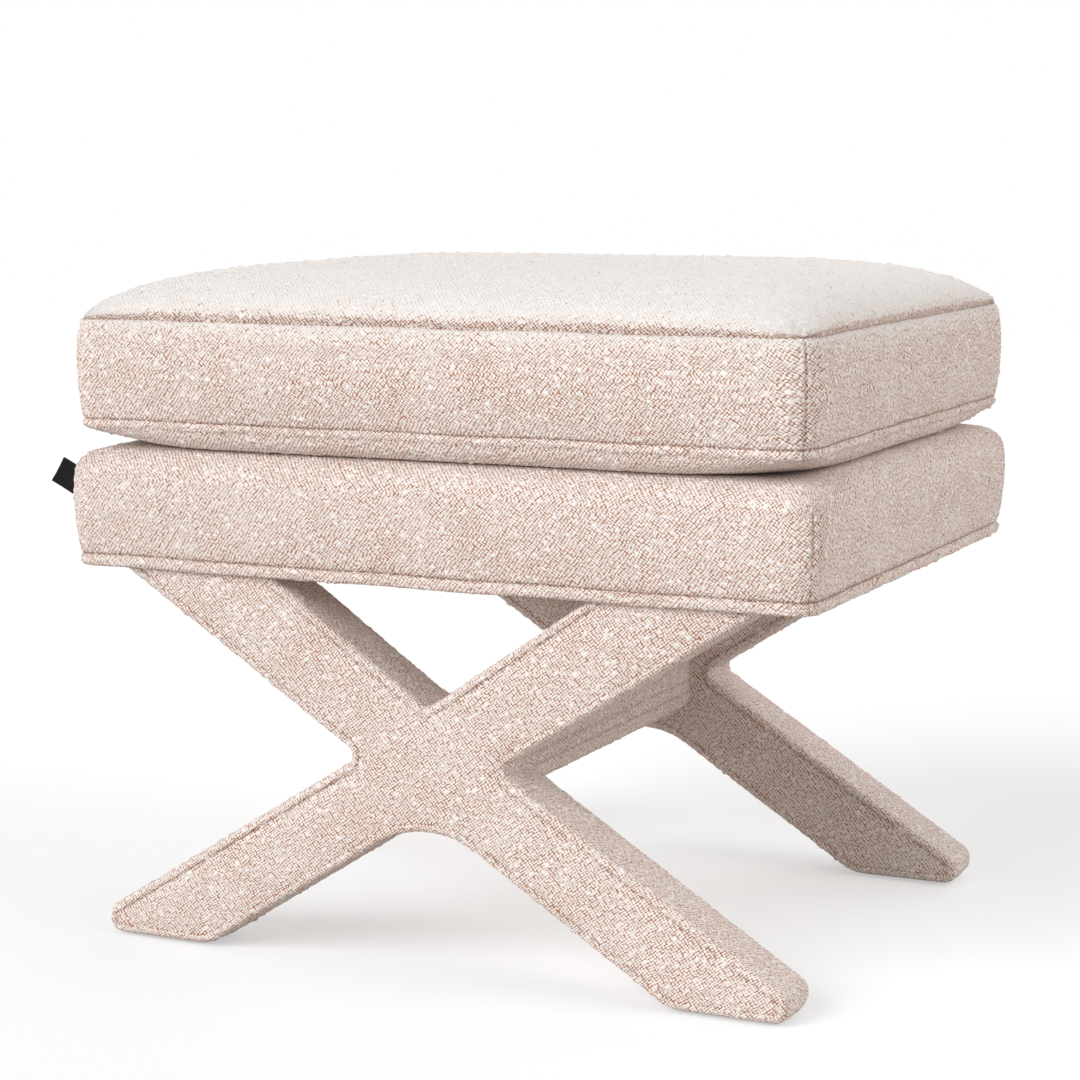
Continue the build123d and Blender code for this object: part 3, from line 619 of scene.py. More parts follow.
def loose_finish(name, slot_colours, grain, stretch, rough, relief, metal=0.0, bands=0.0):
    """Material with a grain of two colours, even roughness and fine relief, on Object coordinates."""
    made = bpy.data.materials.new(name)
    made.use_nodes = True
    tree = made.node_tree
    shader = tree.nodes["Principled BSDF"]
    place = tree.nodes.new("ShaderNodeTexCoord")
    fit = tree.nodes.new("ShaderNodeMapping")
    fit.inputs["Rotation"].default_value = stretch[1]
    fit.inputs["Scale"].default_value = stretch[0]
    tree.links.new(place.outputs["Object"], fit.inputs["Vector"])
    fine = tree.nodes.new("ShaderNodeTexNoise")
    fine.inputs["Scale"].default_value = grain
    fine.inputs["Detail"].default_value = 5.0
    tree.links.new(fit.outputs[0], fine.inputs["Vector"])
    factor = fine.outputs["Fac"]
    if bands:
        rings = tree.nodes.new("ShaderNodeTexWave")
        rings.wave_profile = "SIN"
        rings.inputs["Scale"].default_value = bands
        rings.inputs["Distortion"].default_value = 3.0
        rings.inputs["Detail"].default_value = 2.0
        tree.links.new(fit.outputs[0], rings.inputs["Vector"])
        both = tree.nodes.new("ShaderNodeMath")
        both.operation = "MULTIPLY_ADD"
        both.inputs[1].default_value = 0.5
        half = tree.nodes.new("ShaderNodeMath")
        half.operation = "MULTIPLY"
        half.inputs[1].default_value = 0.5
        tree.links.new(rings.outputs["Fac"], both.inputs[0])
        tree.links.new(fine.outputs["Fac"], half.inputs[0])
        tree.links.new(half.outputs[0], both.inputs[2])
        factor = both.outputs[0]
    mix = tree.nodes.new("ShaderNodeMix")
    mix.data_type = "RGBA"
    mix.inputs[6].default_value = (*slot_colours[0], 1)
    mix.inputs[7].default_value = (*slot_colours[1], 1)
    tree.links.new(factor, mix.inputs[0])
    tree.links.new(mix.outputs[2], shader.inputs["Base Color"])
    worn = tree.nodes.new("ShaderNodeMapRange")
    worn.inputs["To Min"].default_value = rough - 0.08
    worn.inputs["To Max"].default_value = min(1.0, rough + 0.08)
    tree.links.new(factor, worn.inputs["Value"])
    tree.links.new(worn.outputs[0], shader.inputs["Roughness"])
    bump = tree.nodes.new("ShaderNodeBump")
    bump.inputs["Strength"].default_value = 0.8
    bump.inputs["Distance"].default_value = relief
    tree.links.new(factor, bump.inputs["Height"])
    tree.links.new(bump.outputs[0], shader.inputs["Normal"])
    shader.inputs["Metallic"].default_value = metal
    return made


even = ((1, 1, 1), (0, 0, 0))
fibre_wadding = loose_finish("fibre_wadding", ((0.90, 0.90, 0.89), (0.97, 0.97, 0.96)), 160, even, 0.95, 0.0012)
upholstery_foam = loose_finish("upholstery_foam", ((0.86, 0.80, 0.62), (0.95, 0.91, 0.76)), 420, even, 0.92, 0.0006)


def dress_nodes(material, *names):
    """Gives CAD pieces their finish."""
    for name in names:
        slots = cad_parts[name].material_slots
        for slot in slots:
            slot.material = material


smooth = cushion_fill.modifiers.new("smooth", "SUBSURF")
smooth.levels = smooth.render_levels = 1
plain_mesh(cushion_fill)
cushion_fill.data.materials.clear()
cushion_fill.data.materials.append(fibre_wadding)
zip_pocket_half, zip_pocket_reach = 0.0175, 0.220
zip_channel(cushion_fill, zip_pocket_reach, zip_pocket_half, zip_floor - 0.0012)
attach(cushion_fill, "cushion")
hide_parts("cushion_wrap")
dress_nodes(upholstery_foam, "cushion_core")

# Platform cover
# The padded box that the cushion lies on: four side panels pulled down over foam
# and turned under the rails, with a doubled hem band along the lower edge.
def underside_height(x, y):
    inset = min(platform_half_x - abs(x), platform_half_y - abs(y))
    return 0.2612 + 0.0024 * min(1.0, inset / 0.012)


def bearing(x, y):
    """How much of the deck lies still under the cushion."""
    inset = min(platform_half_x - abs(x), platform_half_y - abs(y))
    return min(0.75, max(0.0, (inset - 0.012) / 0.010))


def tucked_under(x, y):
    return 1.0


platform_rows = [
    (0.3228, 0.0000, 0, 0, 0), (0.3160, 0.0006, 0, 0, 0), (0.3080, 0.0008, 0, 0, 0), (0.2990, 0.0004, 0, 0, 0),
    (0.2900, -0.0004, 0, 0, 0), (0.2810, -0.0016, 0, 0, 0), (0.2745, -0.0028, 0, 0, 0.05),
    (0.2708, -0.0036, 0, 0, 0.35), (0.2697, -0.0054, 0, 0.9, 0.9), (0.2688, -0.0036, 0, 0, 0.3),
    (0.2665, -0.0031, 0, 0, 0), (0.2635, -0.0033, 0, 0, 0), (0.2618, -0.0042, 0, 0, 0), (0.2612, -0.0060, 0, 0, 0),
]
platform_cover = closed_cover(
    "platform_cover", platform_half_x, platform_half_y, platform_corner, 0.0066,
    platform_rows, (deck_height, bearing), (underside_height, tucked_under), 0.0, 0.0008,
)
cloth_finish(platform_cover, 2)
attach(platform_cover, "base")
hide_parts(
    "platform_front_panel", "platform_rear_panel", "platform_left_panel", "platform_right_panel",
    "platform_deck_panel", "platform_hem",
)
dress_nodes(upholstery_foam, "deck_foam", "platform_side_padding")

# Crossed leg frames
# Each frame is two beech limbs halved together, wrapped in foam and covered with
# two cut face panels sewn to an edge band, with a stitched flange along the edge.
frame_thickness, frame_middle, frame_top, sole_height = 0.044, 0.1797, 0.2637, 0.002
arris, flange_width = 0.004, 0.0056
arm_inner, arm_outer, notch_reach, cross_height = 0.1194, 0.2350, 0.0504, 0.1452
window_corner, arch_corner, heel_reach, toe_reach, toe_height = 0.1815, 0.1110, 0.171, 0.251, 0.019


def crossed_corners(inset):
    """Corners of the crossed outline and their rounding, before the inset; negative where hollow."""
    top, sole = frame_top + inset, sole_height
    outer = notch_reach + (top - cross_height) * (arm_outer - notch_reach) / (frame_top - cross_height)
    inner = (top - window_corner) * arm_inner / (frame_top - window_corner)
    half = [
        (heel_reach, sole, 0.030), (toe_reach, sole, 0.009), (toe_reach, toe_height, 0.009),
        (notch_reach, cross_height, -0.007), (outer, top, 0.0), (inner, top, 0.0),
    ]
    mirrored = [(-x, z, r) for x, z, r in reversed(half)]
    return half + [(0.0, window_corner, -0.004)] + mirrored + [(0.0, arch_corner, -0.066)]


def crossed_ring(inset, pitch=0.0018):
    """Points round the crossed outline, moved inwards; every ring has the same count."""
    corners = crossed_corners(inset)
    plain = crossed_corners(0.0)
    count = len(corners)
    ring = []

    def turned(points, shift):
        moved = []
        for i in range(count):
            p = np.array(points[i][:2])
            before = p - np.array(points[i - 1][:2])
            after = np.array(points[(i + 1) % count][:2]) - p
            before, after = before / np.linalg.norm(before), after / np.linalg.norm(after)
            n1, n2 = np.array((-before[1], before[0])), np.array((-after[1], after[0]))
            moved.append((p + (n1 + n2) * shift / (1 + n1 @ n2), before, after))
        return moved

    def rounded(placed, radius):
        p, before, after = placed
        turn = math.atan2(before[0] * after[1] - before[1] * after[0], before @ after)
        reach = radius * math.tan(abs(turn) / 2)
        centre = p - before * reach + np.array((-before[1], before[0])) * radius * (1 if turn > 0 else -1)
        return p - before * reach, centre, turn

    here, flat = turned(corners, inset), turned(plain, 0.0)
    arcs = []
    for i in range(count):
        r = corners[i][2]
        radius = 0.0 if r == 0 else (max(r - inset, 0.0006) if r > 0 else inset - r)
        start, centre, turn = rounded(here[i], radius)
        steps = 1 if r == 0 else max(3, round(abs(r * turn) / pitch))
        arc = []
        for k in range(steps + 1 if r else 1):
            angle = turn * k / steps
            c, t = math.cos(angle), math.sin(angle)
            arm = start - centre
            arc.append(centre + np.array((arm[0] * c - arm[1] * t, arm[0] * t + arm[1] * c)) if r else here[i][0])
        arcs.append(arc)
    for i in range(count):
        ring += arcs[i]
        after = (i + 1) % count
        length = np.linalg.norm(flat[after][0] - flat[i][0])
        pieces = max(2, round(length / pitch))
        a, b = arcs[i][-1], arcs[after][0]
        ring += [a + (b - a) * k / pieces for k in range(1, pieces)]
    return np.array(ring)


def inner_lattice(ring, pitch):
    """Even points inside a ring and their distance from it."""
    low, high = ring.min(axis=0), ring.max(axis=0)
    rows = int((high[1] - low[1]) / (pitch * 0.866)) + 1
    grid = []
    for row in range(rows):
        z = low[1] + row * pitch * 0.866
        xs = np.arange(low[0] + (row % 2) * pitch / 2, high[0], pitch)
        grid.append(np.stack([xs, np.full_like(xs, z)], axis=1))
    grid = np.concatenate(grid)
    a, b = ring, np.roll(ring, -1, axis=0)
    inside = np.zeros(len(grid), dtype=bool)
    near = np.full(len(grid), 1.0)
    for p, q in zip(a, b):
        if p[1] != q[1]:
            crosses = (p[1] > grid[:, 1]) != (q[1] > grid[:, 1])
            at = (q[0] - p[0]) * (grid[:, 1] - p[1]) / (q[1] - p[1]) + p[0]
            inside ^= crosses & (grid[:, 0] < at)
        along = q - p
        t = np.clip(((grid - p) @ along) / (along @ along), 0, 1)
        near = np.minimum(near, np.linalg.norm(grid - (p + t[:, None] * along), axis=1))
    keep = inside & (near > pitch * 0.55)
    return grid[keep], near[keep]


def crossed_cover_plan():
    """Rings of the soft edge, with their seam shade, and the triangles of one face, shared by both frames."""
    half = frame_thickness / 2
    rings = []
    for k in range(6):
        angle = math.pi / 2 * k / 5
        inset, depth = arris * (1 - math.cos(angle)), half - arris + arris * math.sin(angle)
        rings.append((inset, depth, arris - arris * (math.pi / 2 - angle), 0.0))
    groove = flange_width
    rings.append((groove - 0.0004, half, groove - 0.0004, 0.35))
    rings.append((groove + 0.0003, half - 0.0012, groove + 0.0003, 1.0))
    last = crossed_ring(rings[-1][0])
    lattice, depth = inner_lattice(last, 0.0020)
    points = [Vector(p) for p in last] + [Vector(p) for p in lattice]
    made = delaunay_2d_cdt(points, [], [list(range(len(last)))], 1, 1e-7)
    order = [origin[0] for origin in made[3]]
    triangles = [[order[k] for k in face] for face in made[2]]
    return rings, last, lattice, depth, triangles


crossed_plan = crossed_cover_plan()


def seam_hold(x, z):
    """How tightly the flange seam is drawn in at a point, from loosely to fully."""
    return 0.70 + 0.30 * math.sin(118 * x + 71 * z) * math.sin(93 * z - 127 * x + 2)


def crossed_cover(name, side):
    """Closed cover of one frame; side is -1 for the front frame and 1 for the rear one."""
    rings, last, lattice, depth, triangles = crossed_plan
    half = frame_thickness / 2
    middle = side * frame_middle
    points, faces, uvs, seams = [], [], [], []
    shapes = [crossed_ring(inset) for inset, _, _, _ in rings]
    plans = [crossed_ring(flat) for _, _, flat, _ in rings]
    count = len(last)
    loops = {}
    for face_side in (-1, 1):
        for k, (_, y, _, seam) in enumerate(rings):
            loops[face_side, k] = list(range(len(points), len(points) + count))
            sunk = half - y if k > 5 else 0.0
            hold = [seam_hold(p[0] + face_side * 0.01, p[1]) for p in shapes[k]]
            points += [(p[0], middle + face_side * (y + sunk * (1 - h)), p[1]) for p, h in zip(shapes[k], hold)]
            seams += [seam * h for h in hold]
    inner = {}
    for face_side in (-1, 1):
        inner[face_side] = loops[face_side, len(rings) - 1] + list(range(len(points), len(points) + len(lattice)))
        for p, d in zip(lattice, depth):
            swell = half - 0.0009 + 0.0017 * (1 - math.exp(-d / 0.007))
            points.append((p[0], middle + face_side * swell, p[1]))
            seams.append(0.5 * math.exp(-(d / 0.0014) ** 2))
    flat_points = [tuple(p) for p in last] + [tuple(p) for p in lattice]
    for face_side in (-1, 1):
        shift = 0.0 if face_side < 0 else 2.0
        for triangle in triangles:
            turned = triangle if face_side < 0 else triangle[::-1]
            faces.append([inner[face_side][k] for k in turned])
            uvs.append([(flat_points[k][0] + shift, flat_points[k][1]) for k in turned])
        for k in range(len(rings) - 1):
            for i in range(count):
                j = (i + 1) % count
                quad = [(k, i), (k, j), (k + 1, j), (k + 1, i)]
                if face_side > 0:
                    quad = quad[::-1]
                faces.append([loops[face_side, a][b] for a, b in quad])
                uvs.append([(plans[a][b][0] + shift, plans[a][b][1]) for a, b in quad])
    along = np.concatenate([[0.0], np.cumsum(np.linalg.norm(np.roll(shapes[0], -1, axis=0) - shapes[0], axis=1))])
    rows = 14
    bands = [loops[-1, 0]]
    for row in range(1, rows):
        t = row / rows
        y = -(half - arris) + 2 * (half - arris) * t
        bands.append(list(range(len(points), len(points) + count)))
        points += [(p[0], middle + y, p[1]) for p in crossed_ring(-0.0007 * math.sin(math.pi * t))]
        seams += [0.0] * count
    bands.append(loops[1, 0])
    for row in range(rows):
        for i in range(count):
            j = (i + 1) % count
            faces.append([bands[row][i], bands[row + 1][i], bands[row + 1][j], bands[row][j]])
            low, high = (2 * (half - arris)) * row / rows, (2 * (half - arris)) * (row + 1) / rows
            uvs.append([(4 + along[i], low), (4 + along[i], high), (4 + along[i + 1], high), (4 + along[i + 1], low)])
    stills = []
    for (x, _, z), seam in zip(points, seams):
        held = z > frame_top - 0.002 or z < sole_height + 0.001
        stills.append(1.0 if held else 0.5 * seam)
    mesh = bpy.data.meshes.new(name)
    mesh.from_pydata(points, [], faces)
    layer = mesh.uv_layers.new(name="cloth_plan")
    layer.data.foreach_set("uv", [c for face in uvs for uv in face for c in uv])
    mesh.polygons.foreach_set("use_smooth", [True] * len(faces))
    # The seam attribute marks the flange seam, where the cloth is darkened as painted shade in its groove.
    for label, values in (("seam", seams), ("still", stills)):
        mesh.attributes.new(label, "FLOAT", "POINT").data.foreach_set("value", values)
    cover = bpy.data.objects.new(name, mesh)
    bpy.context.scene.collection.objects.link(cover)
    cloth_finish(cover, 0, nub_height=0.0011, loop_height=0.0017)
    end = "front" if side < 0 else "rear"
    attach(cover, "base")
    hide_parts(f"{end}_cross_outer_panel", f"{end}_cross_inner_panel", f"{end}_cross_edge_band")
    return cover


front_cross_cover = crossed_cover("front_cross_cover", -1)
rear_cross_cover = crossed_cover("rear_cross_cover", 1)
dress_nodes(upholstery_foam, "front_cross_padding", "rear_cross_padding")

# Stretcher cover
# A tube of the same cloth over the padded beam between the two crossings, with
# its closing seam and a second row of stitches low on each side.
stretcher_half_x, stretcher_half_z, stretcher_centre, stretcher_corner = 0.040, 0.028, 0.144, 0.011
stretcher_reach = frame_middle - frame_thickness / 2 + 0.0015
stretcher_seams = (-0.0130, -0.0042)


def stretcher_section(inset):
    """Rounded section of the tube, with its two grooves low on each side, moved in by the inset."""
    section = []
    flat_x, flat_z = stretcher_half_x - stretcher_corner, stretcher_half_z - stretcher_corner
    corner = stretcher_corner - inset
    for cx, cz, start in ((1, -1, -90), (1, 1, 0), (-1, 1, 90), (-1, -1, 180)):
        for k in range(9):
            angle = math.radians(start + 90 * k / 8)
            section.append((cx * flat_x + corner * math.cos(angle), cz * flat_z + corner * math.sin(angle)))
        a = section[-1]
        dx, dz, steps = {(1, -1): (0, 2 * flat_z, 26), (1, 1): (-2 * flat_x, 0, 34),
                         (-1, 1): (0, -2 * flat_z, 26), (-1, -1): (2 * flat_x, 0, 34)}[cx, cz]
        section += [(a[0] + dx * k / steps, a[1] + dz * k / steps) for k in range(1, steps)]
    shaped, seams = [], []
    for x, z in section:
        seam = 0.0
        if abs(abs(x) - stretcher_half_x + inset) < 1e-6:
            swell = 0.0006 * math.cos(math.pi * z / 0.05)
            seam = max(math.exp(-((z - row) / 0.0010) ** 2) for row in stretcher_seams)
            x += math.copysign(swell - 0.0012 * seam, x)
        shaped.append((x, z))
        seams.append(seam)
    return shaped, seams


def stretcher_tube(name, inset, rings):
    shaped, section_seams = stretcher_section(inset)
    count = len(shaped)
    points, faces, uvs = [], [], []
    along = [7.0]
    for i in range(count):
        along.append(along[-1] + math.dist(shaped[i], shaped[(i + 1) % count]))
    for k in range(rings + 1):
        y = -stretcher_reach + 2 * stretcher_reach * k / rings
        points += [(x, y, stretcher_centre + z) for x, z in shaped]
    for k in range(rings):
        for i in range(count):
            j = (i + 1) % count
            faces.append([k * count + i, (k + 1) * count + i, (k + 1) * count + j, k * count + j])
            low, high = 2 * stretcher_reach * k / rings, 2 * stretcher_reach * (k + 1) / rings
            uvs.append([(along[i], low), (along[i], high), (along[i + 1], high), (along[i + 1], low)])
    for loop in (list(range(count)), list(range(rings * count, (rings + 1) * count))[::-1]):
        faces.append(loop)
        uvs.append([(7.5 + points[k][0], points[k][2]) for k in loop])
    mesh = bpy.data.meshes.new(name)
    mesh.from_pydata(points, [], faces)
    layer = mesh.uv_layers.new(name="cloth_plan")
    layer.data.foreach_set("uv", [c for face in uvs for uv in face for c in uv])
    mesh.polygons.foreach_set("use_smooth", [True] * (len(faces) - 2) + [False] * 2)
    seams = section_seams * (rings + 1)
    # The seam attribute marks the stitch grooves, where the cloth is darkened as painted shade.
    for label, values in (("seam", seams), ("still", seams)):
        mesh.attributes.new(label, "FLOAT", "POINT").data.foreach_set("value", values)
    tube = bpy.data.objects.new(name, mesh)
    bpy.context.scene.collection.objects.link(tube)
    return tube


stretcher_sleeve = cloth_finish(stretcher_tube("stretcher_sleeve", 0.0, 170), 0, nub_height=0.0010, loop_height=0.0014)
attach(stretcher_sleeve, "base")
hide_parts("stretcher_cover")
stretcher_foam = stretcher_tube("stretcher_foam", 0.0024, 24)
stretcher_foam.data.materials.append(upholstery_foam)
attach(stretcher_foam, "base")
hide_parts("stretcher_padding")

# Seam stitches
# Lockstitch rows in a thick thread, coloured dark pink-brown as painted shade of the sunk stitch
# holes: round the cushion above and below its boxing, round the hem, along every flange of the crosses and on the
# stretcher.


def stitch_rows():
    """Geometry Nodes tree that lays a short thread capsule at every pitch along drawn lines."""
    tree = bpy.data.node_groups.new("stitch_rows", "GeometryNodeTree")
    face = tree.interface
    face.new_socket("Lines", in_out="INPUT", socket_type="NodeSocketGeometry")
    for name, value in (("Stitch Pitch", 0.0042), ("Stitch Length", 0.0030), ("Thread Radius", 0.00034)):
        face.new_socket(name, in_out="INPUT", socket_type="NodeSocketFloat").default_value = value
    face.new_socket("Seed", in_out="INPUT", socket_type="NodeSocketInt").default_value = 7
    face.new_socket("Thread", in_out="INPUT", socket_type="NodeSocketMaterial")
    face.new_socket("Stitches", in_out="OUTPUT", socket_type="NodeSocketGeometry")
    link = tree.links.new
    into, out = tree.nodes.new("NodeGroupInput"), tree.nodes.new("NodeGroupOutput")
    curve = tree.nodes.new("GeometryNodeMeshToCurve")
    link(into.outputs["Lines"], curve.inputs["Mesh"])
    places = tree.nodes.new("GeometryNodeCurveToPoints")
    places.mode = "LENGTH"
    link(curve.outputs[0], places.inputs["Curve"])
    link(into.outputs["Stitch Pitch"], places.inputs["Length"])
    lie = tree.nodes.new("FunctionNodeAlignRotationToVector")
    lie.axis = "Z"
    link(places.outputs["Tangent"], lie.inputs["Vector"])
    thread = tree.nodes.new("GeometryNodeMeshUVSphere")
    thread.inputs["Segments"].default_value = 6
    thread.inputs["Rings"].default_value = 5
    thread.inputs["Radius"].default_value = 1.0
    size = tree.nodes.new("ShaderNodeCombineXYZ")
    half = tree.nodes.new("ShaderNodeMath")
    half.operation = "MULTIPLY"
    half.inputs[1].default_value = 0.5
    link(into.outputs["Stitch Length"], half.inputs[0])
    link(into.outputs["Thread Radius"], size.inputs["X"])
    link(into.outputs["Thread Radius"], size.inputs["Y"])
    link(half.outputs[0], size.inputs["Z"])
    uneven = tree.nodes.new("FunctionNodeRandomValue")
    uneven.inputs[2].default_value = 0.6
    uneven.inputs[3].default_value = 1.25
    link(into.outputs["Seed"], uneven.inputs["Seed"])
    scaled = tree.nodes.new("ShaderNodeVectorMath")
    scaled.operation = "SCALE"
    link(size.outputs[0], scaled.inputs[0])
    link(uneven.outputs[1], scaled.inputs["Scale"])
    sew = tree.nodes.new("GeometryNodeInstanceOnPoints")
    link(places.outputs["Points"], sew.inputs["Points"])
    link(thread.outputs[0], sew.inputs["Instance"])
    link(lie.outputs[0], sew.inputs["Rotation"])
    link(scaled.outputs[0], sew.inputs["Scale"])
    whole = tree.nodes.new("GeometryNodeRealizeInstances")
    link(sew.outputs[0], whole.inputs[0])
    dress = tree.nodes.new("GeometryNodeSetMaterial")
    link(whole.outputs[0], dress.inputs["Geometry"])
    link(into.outputs["Thread"], dress.inputs["Material"])
    link(dress.outputs[0], out.inputs[0])
    return tree


stitches = stitch_rows()
# The thread is coloured dark pink-brown, painted shade of the sunk stitch holes.
thread_in_painted_shade = loose_finish("thread_in_painted_shade", ((0.30, 0.15, 0.10), (0.50, 0.31, 0.23)), 900, even, 0.8, 0.0001)


def boxed_line(half_x, half_y, corner, outset, draw, height):
    """Closed line round a boxed cover at one height."""
    line = []
    steps = 12
    for sx, sy, start in ((1, -1, -90), (1, 1, 0), (-1, 1, 90), (-1, -1, 180)):
        for k in range(steps + 1):
            angle = math.radians(start + 90 * k / steps)
            line.append((
                sx * (half_x - corner) + (corner + outset) * math.cos(angle),
                sy * (half_y - corner) + (corner + outset) * math.sin(angle),
            ))
        ax, ay = line[-1]
        bx, by = {(1, -1): (ax, -ay), (1, 1): (-ax, ay), (-1, 1): (ax, -ay), (-1, -1): (-ax, ay)}[sx, sy]
        line += [(ax + (bx - ax) * k / 40, ay + (by - ay) * k / 40) for k in range(1, 40)]
    points = []
    for x, y in line:
        fx, fy = drawn_in(x, y, half_x, half_y, draw)
        points.append((fx, fy, height + seam_wander(fx, fy)))
    return points


def sewn(name, body, lines):
    """Sews closed or open lines and makes the thread a plain mesh on a body."""
    points, edges = [], []
    for line, closed in lines:
        first = len(points)
        points += line
        edges += [(first + k, first + k + 1) for k in range(len(line) - 1)]
        if closed:
            edges.append((first + len(line) - 1, first))
    mesh = bpy.data.meshes.new(name)
    mesh.from_pydata(points, edges, [])
    piece = bpy.data.objects.new(name, mesh)
    bpy.context.scene.collection.objects.link(piece)
    sewing = piece.modifiers.new("sewing", "NODES")
    sewing.node_group = stitches
    sewing[socket_named(stitches, "Thread")] = thread_in_painted_shade
    plain_mesh(piece)
    piece.data.polygons.foreach_set("use_smooth", [True] * len(piece.data.polygons))
    piece.data.materials.clear()
    piece.data.materials.append(thread_in_painted_shade)
    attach(piece, body)
    return piece


def cross_lines(side):
    ring = crossed_ring(flange_width + 0.0003)
    below_seat = frame_top - 0.0035
    lines = []
    for face_side in (-1, 1):
        y = side * frame_middle + face_side * (frame_thickness / 2 - 0.0008)
        run = []
        for x, z in ring:
            if z > below_seat:
                if len(run) > 2:
                    lines.append((run, False))
                run = []
            else:
                run.append((x, y, z))
        if len(run) > 2:
            lines.append((run, False))
    return lines


def stretcher_lines():
    lines = []
    for sign in (-1, 1):
        for row in stretcher_seams:
            x = sign * (stretcher_half_x - 0.0004)
            end = stretcher_reach - 0.003
            lines.append(([(x, -end, stretcher_centre + row), (x, end, stretcher_centre + row)], False))
    return lines


cushion_stitches = sewn("cushion_stitches", "cushion", [
    (boxed_line(cushion_half_x, cushion_half_y, cushion_corner, 0.0001, 0.003, low_seam), True),
    (boxed_line(cushion_half_x, cushion_half_y, cushion_corner, -0.0009, 0.003, top_seam), True),
])
base_stitches = sewn("base_stitches", "base", [
    (boxed_line(platform_half_x, platform_half_y, platform_corner, -0.0048, 0.0, 0.2697), True),
] + cross_lines(-1) + cross_lines(1) + stretcher_lines())

# Timber, boards and lining
# Planed beech limbs, rails, blocks and beam, a birch plywood deck with vent holes,
# and a black nonwoven lining stapled under the rails.
beech = ((0.50, 0.32, 0.17), (0.70, 0.50, 0.31))
limb_lean = math.radians(33.0)


def beech_grain(name, scale, rotation):
    return loose_finish(name, beech, 60, (scale, rotation), 0.55, 0.0002, bands=26)


along_x, along_y = ((0.12, 1, 1), (0, 0, 0)), ((1, 0.12, 1), (0, 0, 0))
dress_nodes(beech_grain("beech_along_x", *along_x), "front_rail", "rear_rail", "corner_blocks")
dress_nodes(beech_grain("beech_along_y", *along_y), "left_rail", "right_rail", "stretcher_beam")
rising_grain = beech_grain("beech_rising", (0.12, 1, 1), (0, limb_lean, 0))
falling_grain = beech_grain("beech_falling", (0.12, 1, 1), (0, -limb_lean, 0))
dress_nodes(rising_grain, "front_rising_limb", "rear_falling_limb")
dress_nodes(falling_grain, "front_falling_limb", "rear_rising_limb")
birch = ((0.62, 0.46, 0.28), (0.80, 0.66, 0.46))
dress_nodes(loose_finish("birch_plywood", birch, 50, ((0.15, 1, 1.5), (0, 0, 0)), 0.6, 0.0002, bands=14), "deck_board")
black_felt = ((0.012, 0.012, 0.013), (0.05, 0.05, 0.055))
dress_nodes(loose_finish("black_lining", black_felt, 900, even, 0.92, 0.0002), "dust_cover")

# Fixings and glides
# Zinc-plated bolts, washers, inserts and barrel nuts, bright wire staples, and
# hard dark plastic glides nailed under the feet.
zinc = loose_finish("zinc_plate", ((0.50, 0.50, 0.50), (0.66, 0.66, 0.67)), 300, even, 0.38, 0.00003, metal=1.0)
bright_wire = loose_finish("bright_wire", ((0.60, 0.60, 0.61), (0.76, 0.76, 0.77)), 500, even, 0.30, 0.00002, metal=1.0)
dark_plastic = loose_finish("dark_plastic", ((0.045, 0.038, 0.034), (0.075, 0.065, 0.058)), 700, even, 0.55, 0.00005)
dress_nodes(
    zinc, "arm_bolts", "arm_bolt_washers", "arm_inserts", "stretcher_bolts", "stretcher_barrel_nuts", "glide_nails",
)
dress_nodes(bright_wire, "lining_staples")
dress_nodes(dark_plastic, "foot_glides")

# Zip
# A closed-end upholstery zip in the rear boxing: woven tapes, moulded teeth and a
# painted metal slider, all dyed to the cloth.
woven_tape = loose_finish("woven_tape", ((0.62, 0.49, 0.42), (0.84, 0.75, 0.69)), 1500, ((1, 1, 0.35), (0, 0, 0)), 0.85, 0.0002)
moulded_teeth = loose_finish("moulded_teeth", ((0.68, 0.56, 0.49), (0.78, 0.68, 0.61)), 400, even, 0.35, 0.00003)
painted_slider = loose_finish("painted_slider", ((0.62, 0.51, 0.45), (0.72, 0.62, 0.56)), 350, even, 0.32, 0.00003, metal=0.4)
dress_nodes(woven_tape, "zip_tapes")
dress_nodes(moulded_teeth, "zip_teeth")
dress_nodes(painted_slider, "zip_slider")

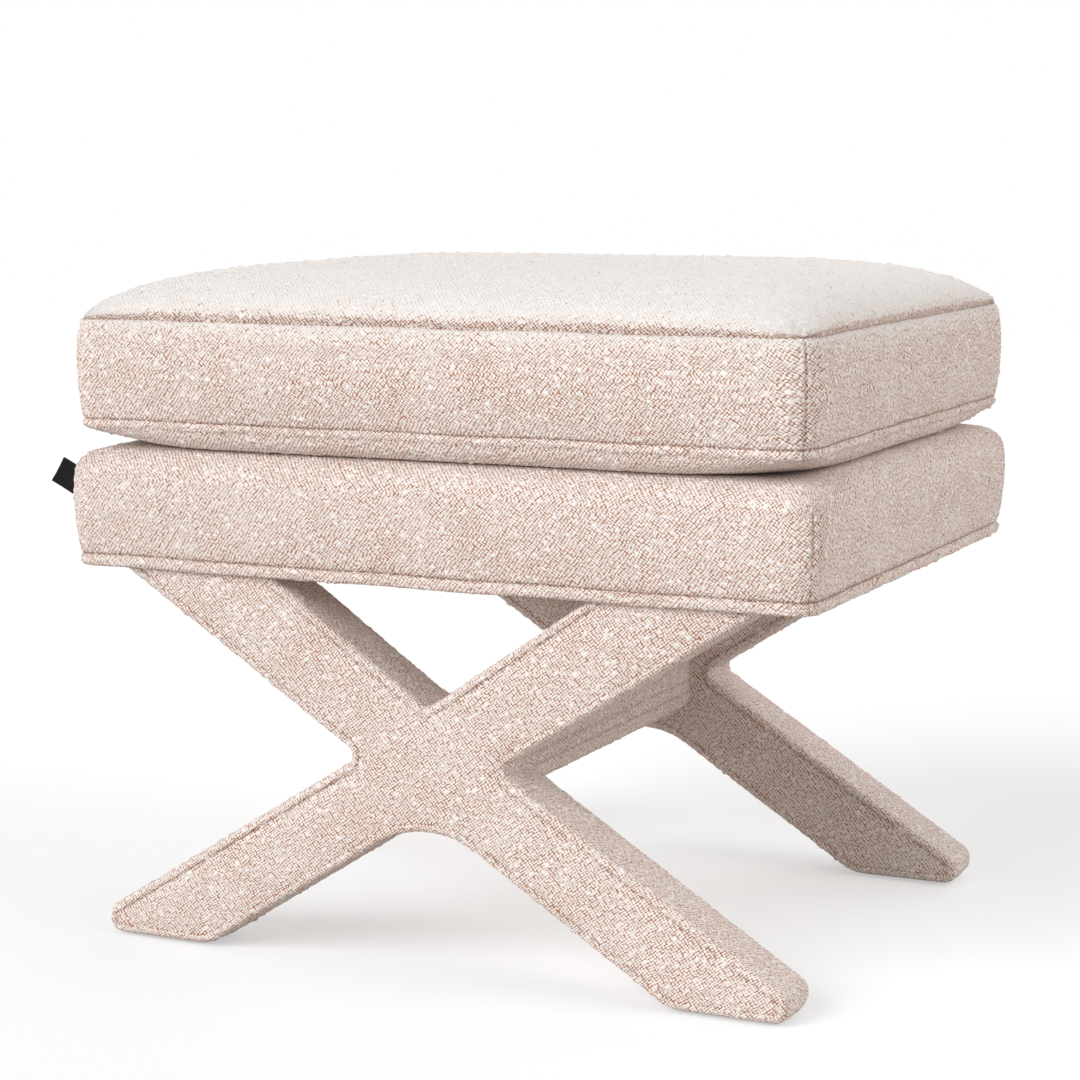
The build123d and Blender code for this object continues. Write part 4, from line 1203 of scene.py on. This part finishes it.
# Side tag
# A folded black grosgrain ribbon caught in the left corner seam, plain, with its
# fold outwards and the ribs of its weave running down it.
ribbon_place, ribbon_width, ribbon_reach, ribbon_thickness = (-0.2913, -0.1980, 0.3172), 0.0195, 0.0195, 0.0007
ribbon_across, ribbon_inward = Vector((0.539, 0.0, 0.843)), Vector((0.912, 0.0, -0.412))
black_ribbon = ((0.003, 0.003, 0.0035), (0.014, 0.014, 0.015))


def folded_ribbon():
    """Two layers of ribbon joined by a round fold, slightly bowed across the width."""
    half = ribbon_thickness + 0.0001
    bend = [math.radians(90 + 180 * k / 8) for k in range(9)]
    run = [ribbon_reach * k / 10 for k in range(10, 0, -1)]
    outer = [(s + half, half) for s in run] + [(half + half * math.cos(a), half * math.sin(a)) for a in bend]
    outer += [(s + half, -half) for s in reversed(run)]
    inner = [(s + half, -0.0001) for s in run] + [(half, -0.0001), (half, 0.0001)]
    inner += [(s + half, 0.0001) for s in reversed(run)]
    contour = outer + inner
    rows = 14
    points, faces = [], []
    for row in range(rows + 1):
        t = row / rows
        for s, thick in contour:
            bow = 0.0006 * math.sin(math.pi * t) * (1 - s / ribbon_reach) - 0.0012 * (s / ribbon_reach) ** 2
            place = Vector(ribbon_place) + ribbon_across * (ribbon_width * t) + ribbon_inward * s
            points.append((place.x, place.y + thick + bow, place.z))
    count = len(contour)
    for row in range(rows):
        for k in range(count):
            after = (k + 1) % count
            a, b = row * count, (row + 1) * count
            faces.append((a + k, a + after, b + after, b + k))
    faces += [tuple(range(count)), tuple(range(rows * count, (rows + 1) * count))]
    mesh = bpy.data.meshes.new("side_ribbon")
    mesh.from_pydata(points, [], faces)
    made = bmesh.new()
    made.from_mesh(mesh)
    bmesh.ops.triangulate(made, faces=[face for face in made.faces if len(face.verts) > 4])
    bmesh.ops.recalc_face_normals(made, faces=made.faces)
    made.to_mesh(mesh)
    made.free()
    ribbon = bpy.data.objects.new("side_ribbon", mesh)
    bpy.context.scene.collection.objects.link(ribbon)
    return ribbon


side_ribbon = folded_ribbon()
tag_lean = math.radians(32.6)
grosgrain = loose_finish("grosgrain", black_ribbon, 60, ((1, 1, 18), (0, tag_lean, 0)), 0.7, 0.0003, bands=60)
grosgrain.node_tree.nodes["Principled BSDF"].inputs["Specular IOR Level"].default_value = 0.15
side_ribbon.data.materials.append(grosgrain)
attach(side_ribbon, "base")
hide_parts("side_tag")
